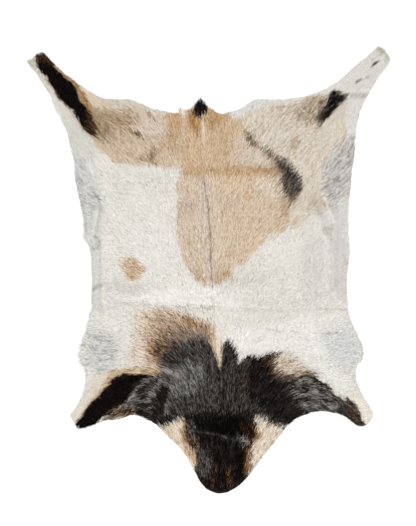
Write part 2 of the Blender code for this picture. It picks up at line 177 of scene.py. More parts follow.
MARKINGS: tuple[Marking, ...] = (
    Marking("right chest pale", "#f0eee9", "#e4e1da", 0.2, 0.6, 20, 6,
        "176,-86 276,-84 288,-104 264,-116 204,-116 172,-104"),
    Marking("left flank shade", "#dcdbd7", "#cfceca", 0.25, 0.85, 32, 4,
        "-280,260 -224,240 -204,140 -208,60 -216,-60 -220,-130 -248,-130 -240,-60 -248,40 -268,140"),
    # painted shade: the strip outside the left belly fold is darker where it slopes away from the light
    Marking("left belly strip", "#e2e1de", "#d0cfcc", 0.3, 0.55, 6, 1,
        "-248,84 -232,76 -232,40 -216,36 -216,-72 -232,-76 -236,0 -242,48"),
    Marking("right flank shade", "#e0ddd8", "#cecac5", 0.25, 0.85, 28, 4,
        "240,132 284,132 286,40 282,-58 252,-66 236,-36 236,60"),
    # painted shade: the strip outside the right belly fold is darker where it slopes away from the light
    Marking("right belly strip", "#dfdbd5", "#d2cec8", 0.25, 0.8, 14, 2,
        "248,68 272,60 274,-60 252,-64 246,0"),
    Marking("right rib shade", "#dfdbd5", "#d1cdc7", 0.25, 0.6, 32, 6,
        "184,40 236,76 240,-60 196,-72 176,-32"),
    Marking("left loin shade", "#dcd9d2", "#cfccc5", 0.25, 0.5, 32, 6,
        "-204,200 -116,204 -56,180 -64,140 -136,148 -192,140"),
    Marking("left rib light", "#e4e1db", "#ebe8e3", 0.3, 0.8, 32, 6,
        "-152,104 -86,96 -64,40 -72,0 -116,0 -148,40"),
    Marking("chest light", "#ece9e3", "#f2efea", 0.3, 0.85, 16, 4,
        "-160,-60 -116,-40 -4,-38 56,-56 64,-74 -36,-72 -116,-66"),
    Marking("right loin light", "#e8e5de", "#efece7", 0.3, 0.6, 32, 6, "108,52 164,80 184,40 164,0 108,0"),
    Marking("right chest light", "#eceae4", "#f5f3ef", 0.3, 0.75, 32, 6,
        "36,-120 96,-120 152,-104 208,-108 240,-148 260,-188 288,-240 264,-244 220,-196 168,-160 "
        "108,-160 56,-160"),
    Marking("left chest light", "#e1ded8", "#e9e7e2", 0.3, 0.7, 28, 6,
        "-216,-92 -168,-96 -156,-140 -164,-192 -216,-244 -232,-228 -196,-172"),
    # painted shade: grey bands along the left rib and brisket creases
    Marking("left grey band", "#dedbd6", "#ccc9c3", 0.25, 0.7, 16, 2,
        "-212,-28 -160,-24 -116,-26 -80,-34 -116,-48 -176,-50 -212,-52"),
    Marking("left grey band two", "#dedbd6", "#ccc9c3", 0.25, 0.65, 16, 2,
        "-212,-66 -176,-62 -160,-70 -180,-80 -212,-80"),
    Marking("saddle foot shade", "#d9d4cc", "#cbc5bd", 0.25, 0.6, 16, 4,
        "36,-4 84,4 124,-12 108,-32 48,-36 12,-40"),
    Marking("left flank fan", "#dad9d6", "#b0afad", 0.3, 0.95, 24, 3,
        "-272,224 -248,224 -228,188 -216,148 -224,124 -244,96 -260,130 -268,176"),
    # a darker spot at the left flank's dent
    Marking("left flank dark spot", "#b4b3b1", "#989695", 0.4, 0.4, 6, 2, "-228,152 -218,152 -214,138 -222,136"),
    Marking("lower left grizzle", "#dcdad6", "#a9a7a5", 0.27, 0.85, 40, 6,
        "-244,-132 -216,-116 -184,-128 -176,-160 -188,-192 -212,-208 -236,-212 -248,-184 -252,-160"),
    Marking("lower right cool", "#e2e2e0", "#c3c4c5", 0.2, 0.85, 40, 4,
        "236,-132 272,-116 296,-136 308,-164 292,-192 268,-204 244,-180"),
    Marking("left shank outer", "#dad8d0", "#c9c6be", 0.2, 0.9, 6, 2,
        "-368,428 -346,428 -316,384 -288,340 -260,296 -232,260 -220,240 -232,220 -276,224 -284,280 "
        "-304,332 -332,376"),
    Marking("left thigh ground", "#d6c6b2", "#b59c81", 0.25, 0.97, 6, 5,
        "-256,356 -232,344 -208,328 -180,328 -152,332 -128,326 -112,314 -80,314 -48,316 -8,320 -8,204 "
        "-48,204 -82,206 -112,208 -136,210 -162,212 -184,216 -200,224 -216,238 -228,254 -240,272 "
        "-252,300"),
    Marking("left thigh pale", "#dccfc3", "#c2ac96", 0.25, 0.8, 26, 6,
        "-140,320 -112,314 -84,304 -84,280 -104,264 -132,264 -148,284"),
    Marking("left thigh low pale", "#d4c4af", "#ab8f6e", 0.28, 0.55, 28, 6,
        "-208,260 -156,264 -116,260 -124,236 -152,220 -184,220 -204,232"),
    Marking("left thigh grizzle", "#b9a183", "#8a7150", 0.3, 0.62, 32, 6,
        "-240,328 -208,320 -172,316 -144,312 -140,294 -156,272 -192,260 -220,260 -236,288"),
    Marking("left thigh olive", "#ae9570", "#6b5636", 0.35, 0.28, 28, 6,
        "-220,316 -176,316 -152,308 -160,284 -200,280 -220,292"),
    Marking("left thigh dark", "#a68b62", "#3d2d1e", 0.4, 0.62, 18, 6,
        "-248,332 -228,322 -210,304 -198,284 -202,264 -220,262 -236,276 -244,300"),
    Marking("left thigh orange", "#c29a68", "#a67c4a", 0.3, 0.5, 40, 6,
        "-80,324 -52,324 -40,304 -44,276 -56,262 -72,260 -82,280 -86,304"),
    Marking("left thigh smudge", "#7d6238", "#5f4826", 0.4, 0.9, 6, 3,
        "-154,277 -144,279 -134,274 -131,267 -140,265 -147,268"),
    Marking("left thigh fleck", "#a78c6c", "#8a6f50", 0.4, 0.6, 10, 3, "-124,318 -116,316 -110,302 -118,300"),
    Marking("left thigh lower smudge", "#a98f70", "#725a40", 0.4, 0.62, 22, 5,
        "-122,240 -104,240 -96,232 -100,218 -94,207 -110,209 -130,212 -142,218 -126,228"),
    Marking("left thigh back", "#c2a682", "#ae9070", 0.3, 0.6, 28, 5,
        "-112,264 -80,268 -48,256 -48,228 -76,232 -104,236"),
    Marking("right thigh ground", "#e0d8cb", "#c4b199", 0.22, 0.97, 16, 6,
        "44,300 64,312 88,320 120,330 152,336 184,342 216,354 244,358 276,354 284,344 276,316 276,288 "
        "272,266 264,244 250,226 242,210 240,184 240,156 244,128 228,118 208,116 192,96 180,84 164,84 "
        "140,68 120,68 72,88 44,140"),
    Marking("rump tan", "#d6bea0", "#bb9e80", 0.3, 0.93, 44, 5,
        "-52,324 60,324 70,284 62,244 48,208 -48,206 -56,240 -52,280"),
    Marking("rump left low", "#d8c5ad", "#c0a381", 0.28, 0.75, 24, 4, "-96,230 -52,230 -48,204 -96,206"),
    Marking("right thigh cream", "#dcd5c8", "#cec1af", 0.25, 0.8, 28, 6,
        "228,300 260,340 280,336 270,288 248,256 220,240 208,260"),
    Marking("right thigh light", "#e1dacf", "#baa98f", 0.28, 0.7, 32, 6,
        "76,296 152,300 184,284 208,244 208,200 176,208 136,240 96,272"),
    Marking("right hip tan", "#dac7b0", "#c3a886", 0.3, 0.5, 40, 6,
        "56,304 84,292 108,268 100,240 64,248 48,264"),
    Marking("right hip low", "#d9caba", "#c2ad95", 0.28, 0.7, 32, 6, "44,260 108,240 140,212 108,204 44,206"),
    Marking("rump ochre", "#bd9a6e", "#a88259", 0.35, 0.42, 32, 4,
        "26,316 44,314 48,272 40,220 28,220 22,270"),
    Marking("saddle right", "#e0cfb9", "#bfa386", 0.3, 0.93, 8, 5,
        "-6,200 64,200 108,196 148,184 152,140 168,116 148,76 120,72 102,48 88,32 72,16 56,10 48,-16 "
        "28,-28 12,-32 -6,-24"),
    Marking("saddle left", "#ddcfbe", "#bda48a", 0.28, 0.97, 4, 3,
        "-52,208 -2,208 -2,-28 -20,-20 -36,-4 -44,8 -56,36 -60,60 -64,90 -63,120 -56,146 -65,160 "
        "-64,176 -54,190"),
    Marking("saddle pink", "#d1bfae", "#ad9681", 0.3, 0.55, 28, 6,
        "16,160 48,152 76,124 68,104 36,116 12,132"),
    Marking("saddle left pink", "#cdbdac", "#a8937e", 0.3, 0.6, 24, 6,
        "-52,140 -20,148 -16,116 -44,96 -60,108"),
    Marking("saddle warm", "#dfcbb1", "#c4a781", 0.3, 0.4, 28, 5,
        "16,188 72,188 88,172 96,148 84,136 64,148 24,156"),
    Marking("saddle low", "#dcc9b1", "#b89d7f", 0.3, 0.4, 26, 5, "-48,88 -12,92 -8,16 -32,16 -48,48"),
    Marking("saddle low right", "#dfcfbb", "#b89d7f", 0.3, 0.4, 26, 5, "16,76 64,88 84,60 56,28 36,0 16,16"),
    Marking("saddle cream", "#e9dfd0", "#c9b59b", 0.28, 0.85, 24, 5,
        "92,180 144,188 160,176 158,144 124,144 96,156"),
    Marking("saddle foot", "#c6ad90", "#a88d6e", 0.35, 0.75, 8, 4, "-36,4 -8,-4 -4,-28 -16,-28 -28,-16"),
    Marking("saddle foot right", "#c6ad90", "#a88d6e", 0.35, 0.65, 8, 4, "14,-4 44,8 46,-12 26,-26 14,-28"),
    Marking("back greige", "#dccfc4", "#ab9c8e", 0.25, 0.62, 16, 3,
        "-20,180 0,188 14,160 18,100 18,20 16,-28 0,-30 -10,16 -16,68 -22,130"),
    Marking("loin band", "#c9aa82", "#b58f62", 0.35, 0.75, 12, 2,
        "-50,210 -4,208 48,210 100,206 148,202 164,200 152,188 100,186 44,186 -4,186 -48,188"),
    Marking("right thigh wash", "#a78d6c", "#65513a", 0.3, 0.48, 32, 6,
        "164,324 196,340 236,352 236,324 220,288 196,288 176,300"),
    Marking("right thigh fleck", "#ae9374", "#84694a", 0.4, 0.35, 18, 5,
        "132,324 156,328 172,320 164,304 140,304"),
    Marking("right thigh fleck low", "#bea88d", "#9c8363", 0.4, 0.5, 18, 4,
        "160,260 178,268 184,252 168,240"),
    Marking("right flank skin", "#d7d4cf", "#a19c97", 0.3, 0.97, 32, 3,
        "228,204 238,224 252,242 268,258 288,272 312,284 312,240 300,196 288,160 268,136 248,120 "
        "234,128 228,156"),
    Marking("right flank core", "#bab5b0", "#948e88", 0.35, 0.22, 28, 4,
        "228,184 244,200 260,184 252,160 240,136 230,152"),
    Marking("right groin", "#dcd4c7", "#c0ac92", 0.28, 0.7, 20, 4,
        "196,148 224,156 236,140 244,124 228,116 204,116"),
    Marking("left rim white", "#d8d0c3", "#c4bbac", 0.25, 0.95, 8, 3,
        "-232,356 -212,350 -192,344 -156,346 -136,342 -112,326 -120,320 -136,326 -160,330 -192,324 "
        "-212,328 -228,340"),
    Marking("right rim white", "#e1dfda", "#d0cdc8", 0.2, 0.97, 8, 3,
        "40,316 56,324 76,336 96,346 184,346 164,338 124,330 88,320 68,308 48,302"),
    Marking("haunch streak top", "#7d6246", "#5f4a33", 0.4, 0.7, 12, 4,
        "72,276 84,272 102,254 98,244 84,252 74,264"),
    Marking("haunch streak", "#755a40", "#3f3224", 0.4, 0.78, 18, 8,
        "96,254 112,248 130,236 150,218 156,208 146,202 128,218 110,232 98,242"),
    Marking("haunch halo", "#b39a7b", "#8a7152", 0.3, 0.35, 20, 6,
        "128,216 148,200 152,160 164,140 152,128 136,148 128,180"),
    Marking("haunch spot", "#3f3935", "#948777", 0.22, 0.97, 16, 6,
        "142,222 156,216 168,204 180,198 189,186 189,166 180,150 168,134 156,142 146,160 138,176 "
        "144,192 138,210"),
    Marking("haunch spot dark", "#1e1b1a", "#454240", 0.3, 0.75, 16, 4,
        "146,214 160,206 176,194 182,178 172,172 160,182 148,196"),
    Marking("haunch spot tail", "#a88453", "#6e5130", 0.35, 0.36, 28, 5,
        "152,148 176,148 174,128 158,106 142,88 136,96 148,124"),
    Marking("haunch tail low", "#cdb48f", "#b08d5c", 0.35, 0.35, 18, 4,
        "164,96 180,102 188,96 172,82 160,84"),
    Marking("left shank halo", "#e2d6c2", "#c9b08a", 0.3, 0.9, 6, 2,
        "-284,392 -256,370 -232,352 -212,338 -196,330 -212,322 -232,324 -248,340 -260,360 -276,378"),
    Marking("left shank ochre", "#c09868", "#8a6440", 0.4, 0.7, 10, 2,
        "-312,420 -296,408 -280,394 -264,378 -252,360 -242,344 -232,328 -244,320 -260,344 -272,364 "
        "-288,382 -306,398"),
    Marking("left shank low ochre", "#d6c1a1", "#e5dac8", 0.4, 0.6, 5, 2,
        "-338,404 -322,386 -306,366 -292,346 -276,324 -260,306 -244,282 -232,264 -238,262 -250,278 "
        "-266,302 -282,320 -298,342 -312,362 -328,382"),
    Marking("left shank stripe", "#080504", "#120c09", 0.2, 1, 6, 3.6,
        "-346,420 -340,426 -328,424 -316,414 -302,402 -288,390 -276,378 -266,364 -258,350 -252,338 "
        "-244,326 -238,318 -234,304 -230,292 -228,278 -232,266 -242,273 -250,283 -258,298 -266,310 "
        "-276,321 -287,331 -298,343 -306,357 -318,373 -330,393 -344,407"),
    Marking("left shank stripe foot", "#100b08", "#5f4733", 0.34, 0.8, 12, 5,
        "-246,318 -236,320 -228,304 -222,284 -218,268 -228,266 -240,276 -248,294"),
    Marking("left shank end", "#4a2f1d", "#140b06", 0.46, 0.95, 5, 2,
        "-350,420 -342,432 -332,436 -324,430 -314,420 -304,408 -302,402 -314,410 -328,416 -342,414"),
    Marking("left shank tab", "#c6c1b2", "#c0bbad", 0.3, 0.95, 3, 1,
        "-368,420 -352,426 -346,420 -342,408 -344,400 -356,408"),
    Marking("tail gold", "#b38853", "#8a6538", 0.35, 0.8, 24, 3,
        "-40,322 -18,320 -14,284 -20,264 -34,280 -42,304"),
    Marking("tail gold right", "#c3a27a", "#a07c52", 0.35, 0.75, 18, 3,
        "-6,320 10,328 24,314 42,316 36,296 8,280 -4,288"),
    Marking("tail black", "#0f0d0e", "#242122", 0.3, 1, 3, 3.6,
        "-34,312 -28,325 -22,337 -15,348 -8,338 -1,327 6,317 -3,311 -9,301 -17,301 -26,309"),
    Marking("rump tuft", "#edecea", "#dcd8d2", 0.3, 0.95, 4, 1, "-60,326 -48,318 -42,308 -52,308"),
    Marking("right shank", "#e3e0da", "#d2cec7", 0.15, 0.95, 6, 2,
        "220,360 274,396 340,460 376,420 348,368 312,332 300,272 284,268 282,308 288,336 288,352 "
        "272,358 248,362"),
    # painted shade below the right shank's fold
    Marking("right shank low", "#cdc8bf", "#bcb6ac", 0.25, 0.7, 6, 2,
        "280,354 304,352 328,352 316,344 292,342"),
    Marking("right shank patch", "#0e0b0a", "#2a231d", 0.1, 0.92, 8, 4,
        "241,354 254,358 266,357 282,352 276,344 268,337 261,330 254,321 245,311 236,300 228,291 "
        "224,300 224,314 228,326 233,338 238,346"),
    Marking("right shank patch edge", "#7d6650", "#33281e", 0.45, 0.55, 16, 6,
        "224,340 240,352 236,332 228,314 222,294 214,302 216,322"),
    Marking("right shank cut end", "#c7c2b2", "#a69d86", 0.3, 0.8, 5, 2,
        "340,446 350,440 364,420 358,416 348,428 336,440"),
    Marking("flank spot edge", "#e2d8ca", "#cdb69b", 0.35, 0.5, 10, 4,
        "-178,16 -168,28 -148,28 -136,16 -124,0 -136,-16 -148,-26 -168,-22 -174,-4"),
    Marking("flank spot", "#dcc7ae", "#a27a50", 0.38, 0.95, 8, 4,
        "-168,16 -164,24 -152,26 -140,18 -130,4 -126,0 -134,-10 -142,-22 -156,-24 -164,-18 -166,-4 "
        "-172,4"),
    Marking("left shoulder cream", "#e5dbcd", "#b8a288", 0.3, 0.95, 36, 6,
        "-148,-80 -116,-74 -80,-80 -80,-120 -96,-160 -88,-184 -112,-204 -152,-212 -160,-164 -152,-120"),
    Marking("left shoulder tan", "#dfccb6", "#745640", 0.28, 0.95, 26, 6,
        "-130,-86 -108,-80 -80,-80 -48,-82 -32,-96 -4,-102 10,-112 10,-152 -16,-164 -72,-164 -100,-188 "
        "-116,-184 -122,-160 -130,-132 -132,-104"),
    Marking("left shoulder brown", "#c9ae96", "#5c4230", 0.34, 0.85, 40, 6,
        "-112,-116 -96,-100 -72,-94 -44,-96 -20,-106 6,-116 8,-160 -36,-164 -76,-168 -104,-184 "
        "-116,-164 -120,-140"),
    Marking("left shoulder umber", "#a18c7a", "#443024", 0.42, 0.6, 32, 6,
        "-96,-126 -68,-114 -36,-114 -8,-124 0,-150 -36,-156 -72,-156 -96,-150"),
    Marking("left shoulder ochre", "#a8834f", "#5d402a", 0.4, 0.7, 6, 3,
        "-52,-93 -38,-97 -24,-104 -10,-109 2,-115 8,-122 2,-126 -12,-120 -26,-114 -42,-106"),
    Marking("left shoulder rim", "#c0a07a", "#6a4a30", 0.34, 0.6, 18, 4,
        "-120,-140 -106,-144 -102,-172 -84,-180 -100,-196 -120,-184 -124,-160"),
    Marking("left shoulder dark", "#84664d", "#342115", 0.38, 0.8, 22, 5,
        "-106,-146 -90,-134 -60,-138 -48,-160 -56,-188 -76,-196 -100,-184 -112,-166"),
    # its grey accent hairs are partly grey hair and partly painted sheen on the black
    Marking("left shoulder charcoal", "#221f1e", "#696561", 0.32, 1, 26, 6,
        "-88,-166 -74,-148 -56,-138 -32,-132 -10,-130 2,-136 12,-148 22,-160 32,-168 48,-180 52,-320 "
        "-4,-320 -32,-316 -44,-302 -56,-294 -72,-306 -92,-318 -108,-316 -124,-308 -140,-300 -160,-292 "
        "-168,-276 -152,-252 -132,-228 -114,-215 -102,-200 -94,-184"),
    Marking("left elbow tan", "#c9a880", "#4e3824", 0.36, 0.65, 16, 5,
        "-136,-194 -120,-188 -104,-190 -96,-198 -116,-206 -140,-206"),
    Marking("left withers black", "#100d0c", "#5a5552", 0.36, 0.7, 8, 4,
        "-18,-138 -6,-134 2,-148 8,-166 15,-184 22,-204 26,-228 12,-228 0,-200 -12,-168"),
    Marking("left shoulder sheen", "#444240", "#94918c", 0.35, 0.7, 22, 6,
        "-84,-204 -64,-194 -40,-184 -12,-188 -6,-220 -20,-240 -40,-256 -64,-252 -80,-236 -88,-220"),
    Marking("left shoulder deep", "#141110", "#3a3633", 0.3, 0.5, 18, 6,
        "-44,-264 -24,-244 8,-228 28,-228 32,-292 -24,-292"),
    Marking("left upper brown", "#86776b", "#a08e7e", 0.35, 0.6, 18, 5,
        "-48,-116 -8,-120 0,-136 -36,-136 -60,-144 -68,-132"),
    Marking("left breast black", "#100d0b", "#2b2624", 0.25, 1, 8, 5,
        "-90,-234 -78,-236 -74,-254 -82,-272 -90,-292 -108,-298 -112,-272 -102,-248"),
    Marking("left breast low", "#121010", "#45413f", 0.12, 1, 12, 4,
        "-156,-282 -132,-276 -116,-288 -92,-288 -64,-284 -48,-292 -76,-304 -96,-312 -120,-302 -140,-294"),
    Marking("left axil dark", "#18110f", "#503c2e", 0.3, 0.95, 8, 4,
        "-152,-210 -136,-210 -116,-209 -100,-211 -94,-218 -104,-226 -120,-224 -136,-220"),
    Marking("right chest strands", "#dad5cd", "#b3aba2", 0.3, 0.32, 18, 6,
        "56,-124 100,-120 116,-136 100,-152 76,-156 56,-144"),
    # its grey accent hairs are partly grey hair and partly painted sheen on the black
    Marking("right shoulder charcoal", "#181614", "#5e5853", 0.28, 1, 5, 6,
        "22,-236 24,-192 28,-164 31,-148 38,-142 48,-152 58,-166 64,-182 74,-177 84,-173 96,-175 "
        "112,-174 128,-169 146,-166 136,-180 140,-196 164,-205 186,-203 206,-204 218,-214 231,-227 "
        "246,-243 267,-261 288,-274 316,-314 296,-314 280,-308 266,-298 250,-290 224,-286 200,-288 "
        "184,-298 168,-312 164,-332 132,-324 108,-308 88,-300 76,-320 22,-328"),
    Marking("right shoulder tan", "#e6d6c1", "#7c5c42", 0.3, 0.85, 22, 7,
        "124,-178 136,-171 152,-170 166,-178 180,-187 196,-195 208,-202 184,-204 160,-207 142,-198 "
        "127,-189"),
    Marking("right shoulder brown", "#110d0b", "#7a5c42", 0.22, 0.85, 18, 6,
        "108,-176 120,-171 130,-169 136,-180 138,-204 128,-220 108,-216 110,-192"),
    Marking("right shoulder blend", "#4c3c30", "#b59a80", 0.36, 0.6, 14, 6,
        "128,-200 148,-204 184,-201 212,-203 224,-214 188,-214 156,-218 124,-216"),
    Marking("right shoulder black", "#0d0a0a", "#2d2926", 0.25, 0.8, 18, 6,
        "88,-178 108,-176 116,-192 122,-208 148,-224 160,-252 170,-296 156,-308 132,-292 108,-276 "
        "84,-260 76,-232 82,-204"),
    # its grey accent hairs are partly grey hair and partly painted sheen on the black
    Marking("right curl grey", "#2a2724", "#85807a", 0.36, 0.85, 20, 6,
        "160,-226 184,-220 216,-220 238,-236 264,-258 278,-276 256,-284 208,-280 180,-272 166,-254"),
    Marking("right curl dark", "#221f1d", "#171413", 0.4, 0.7, 10, 4, "184,-234 202,-232 206,-244 188,-246"),
    Marking("right curl dark low", "#24211f", "#171413", 0.4, 0.7, 14, 4,
        "154,-244 174,-254 192,-280 176,-300 160,-308 152,-284"),
    Marking("right foreleg cream", "#f1eadf", "#e0d5c4", 0.25, 0.95, 8, 2,
        "278,-246 290,-242 310,-255 336,-286 316,-316 304,-296 292,-272 282,-256"),
    Marking("right foreleg brown", "#2e241e", "#6f5d4c", 0.26, 0.92, 8, 4,
        "274,-252 279,-252 284,-261 293,-271 301,-283 308,-296 314,-309 306,-316 292,-302 284,-286 "
        "276,-270 273,-258"),
    Marking("left foreleg cream", "#e8e2d6", "#d6cab8", 0.25, 0.95, 8, 2,
        "-280,-290 -260,-264 -244,-236 -228,-212 -192,-196 -156,-196 -188,-214 -216,-244 -244,-276 "
        "-264,-314"),
    Marking("left foreleg ochre", "#d6bb94", "#8a6846", 0.35, 0.75, 10, 3,
        "-192,-200 -168,-195 -116,-196 -88,-202 -116,-216 -168,-216 -192,-232 -214,-254 -236,-278 "
        "-252,-300 -256,-286 -236,-258 -212,-230"),
    Marking("left foreleg stripe", "#080504", "#160f0b", 0.25, 1, 4.8, 3,
        "-270,-314 -262,-303 -250,-288 -240,-274 -229,-263 -216,-246 -202,-232 -192,-220 -180,-212 "
        "-168,-208 -148,-209 -116,-211 -120,-218 -136,-226 -146,-238 -154,-252 -160,-268 -168,-280 "
        "-188,-286 -202,-291 -214,-296 -220,-306 -226,-316 -248,-322"),
    Marking("left foreleg mottle cream", "#a8947a", "#2c1f16", 0.55, 0.95, 5, 4,
        "-226,-314 -218,-305 -208,-297 -198,-290 -186,-288 -182,-296 -196,-306 -214,-312"),
    Marking("left foreleg mottle dark", "#2a1f18", "#a98f70", 0.3, 0.95, 6, 4,
        "-204,-284 -192,-274 -174,-270 -162,-276 -168,-292 -188,-297 -200,-294"),
    Marking("left foreleg mottle brown", "#2c221c", "#b79b7d", 0.16, 0.95, 8, 4,
        "-180,-282 -168,-272 -154,-271 -142,-276 -154,-290 -176,-296"),
    Marking("left foreleg mottle rim", "#cdb798", "#8a7058", 0.3, 0.8, 5, 3,
        "-216,-310 -192,-300 -168,-294 -148,-286 -144,-294 -176,-304 -208,-314"),
    # its grey accent hairs are partly grey hair and partly painted sheen on the black
    Marking("left breast grey", "#282523", "#7c7774", 0.2, 0.8, 12, 5,
        "-160,-264 -148,-248 -132,-226 -112,-218 -96,-226 -102,-242 -116,-252 -132,-256 -148,-264"),
    Marking("left breast blot", "#1e1b19", "#2e2a28", 0.3, 0.95, 6, 4,
        "-150,-228 -132,-220 -118,-226 -124,-240 -140,-246 -152,-240"),
    Marking("left breast blot two", "#1e1b19", "#2e2a28", 0.3, 0.95, 6, 4,
        "-142,-252 -116,-254 -100,-264 -104,-280 -132,-276 -148,-266"),
    Marking("neck black", "#0d0a09", "#322d2a", 0.22, 1, 5, 5,
        "-56,-288 -24,-288 88,-284 112,-312 108,-340 88,-360 78,-380 76,-400 80,-416 64,-438 36,-452 "
        "8,-452 -16,-432 -32,-404 -26,-384 -32,-364 -48,-352 -56,-332"),
    # its grey accent hairs are partly grey hair and partly painted sheen on the black
    Marking("neck grey", "#34312e", "#77736f", 0.32, 0.72, 16, 5,
        "-18,-360 4,-354 10,-380 0,-410 -16,-416 -28,-404 -24,-380"),
    Marking("neck left brown", "#1e1714", "#9a8066", 0.27, 0.6, 12, 4,
        "-40,-326 -22,-328 -16,-352 -18,-376 -26,-372 -36,-352 -42,-336"),
    Marking("neck left grey", "#262321", "#6f6a66", 0.3, 0.6, 8, 4,
        "-44,-296 -26,-298 -18,-320 -34,-328 -44,-322"),
    Marking("neck right light", "#7a6f65", "#a89b8d", 0.4, 0.62, 10, 4,
        "56,-329 76,-329 92,-333 84,-344 74,-356 64,-342"),
    Marking("neck left cream", "#e9dfd0", "#bfa380", 0.27, 0.97, 6, 3,
        "-108,-320 -96,-314 -84,-312 -72,-307 -60,-301 -50,-299 -46,-306 -48,-314 -51,-324 -50,-336 "
        "-42,-350 -30,-362 -26,-376 -26,-392 -32,-404 -52,-376 -80,-344"),
    Marking("neck left tan", "#c9a57f", "#8a6340", 0.3, 0.7, 18, 3,
        "-50,-296 -42,-304 -48,-324 -44,-344 -30,-360 -24,-374 -24,-396 -36,-380 -48,-356 -56,-332 "
        "-54,-316"),
    Marking("neck right cream", "#e9e0d2", "#bfa583", 0.27, 0.97, 6, 3,
        "90,-294 100,-292 114,-298 128,-306 144,-314 162,-322 150,-334 122,-358 98,-394 82,-418 81,-396 "
        "82,-376 84,-358 96,-342 104,-328 98,-314"),
    Marking("neck right tan", "#96683e", "#3a2415", 0.38, 0.85, 12, 3,
        "74,-358 84,-354 90,-368 88,-388 82,-408 78,-416 73,-392"),
    Marking("neck right glow", "#c99c66", "#7a5230", 0.36, 0.75, 10, 3,
        "89,-302 100,-314 110,-328 104,-340 94,-354 90,-340 98,-328 94,-316"),
    # the fold's black hair, made darker still by painted shade in the fold
    Marking("neck fold", "#070505", "#110e0d", 0.25, 1, 10, 3,
        "-26,-302 -4,-296 24,-288 64,-292 82,-300 90,-316 96,-330 72,-334 48,-334 28,-328 -6,-320 "
        "-24,-316"),
    Marking("neck brown tuft", "#110b08", "#4e301c", 0.2, 0.85, 16, 4,
        "64,-308 86,-308 98,-326 88,-334 70,-330"),
    Marking("neck orange", "#15100d", "#8a5c3c", 0.14, 0.75, 10, 4,
        "11,-386 18,-384 21,-400 17,-414 18,-432 8,-436 5,-418 10,-402"),
    Marking("neck orange two", "#1a120d", "#9a6746", 0.17, 0.9, 10, 4,
        "38,-400 44,-399 49,-414 49,-428 41,-434 37,-422 37,-408"),
    Marking("neck dark right", "#080606", "#141010", 0.3, 0.6, 10, 4,
        "46,-352 70,-358 72,-408 58,-424 50,-400"),
    Marking("withers white", "#e8e4dc", "#d8d2c8", 0.25, 0.97, 5, 2,
        "8,-60 36,-80 40,-132 30,-144 16,-136 8,-112"),
    Marking("withers wedge ground", "#dccbb4", "#a8896a", 0.35, 0.95, 6, 2,
        "2,-116 12,-110 20,-124 27,-142 27,-164 26,-180 24,-192 19,-182 12,-168 6,-152 2,-136"),
)

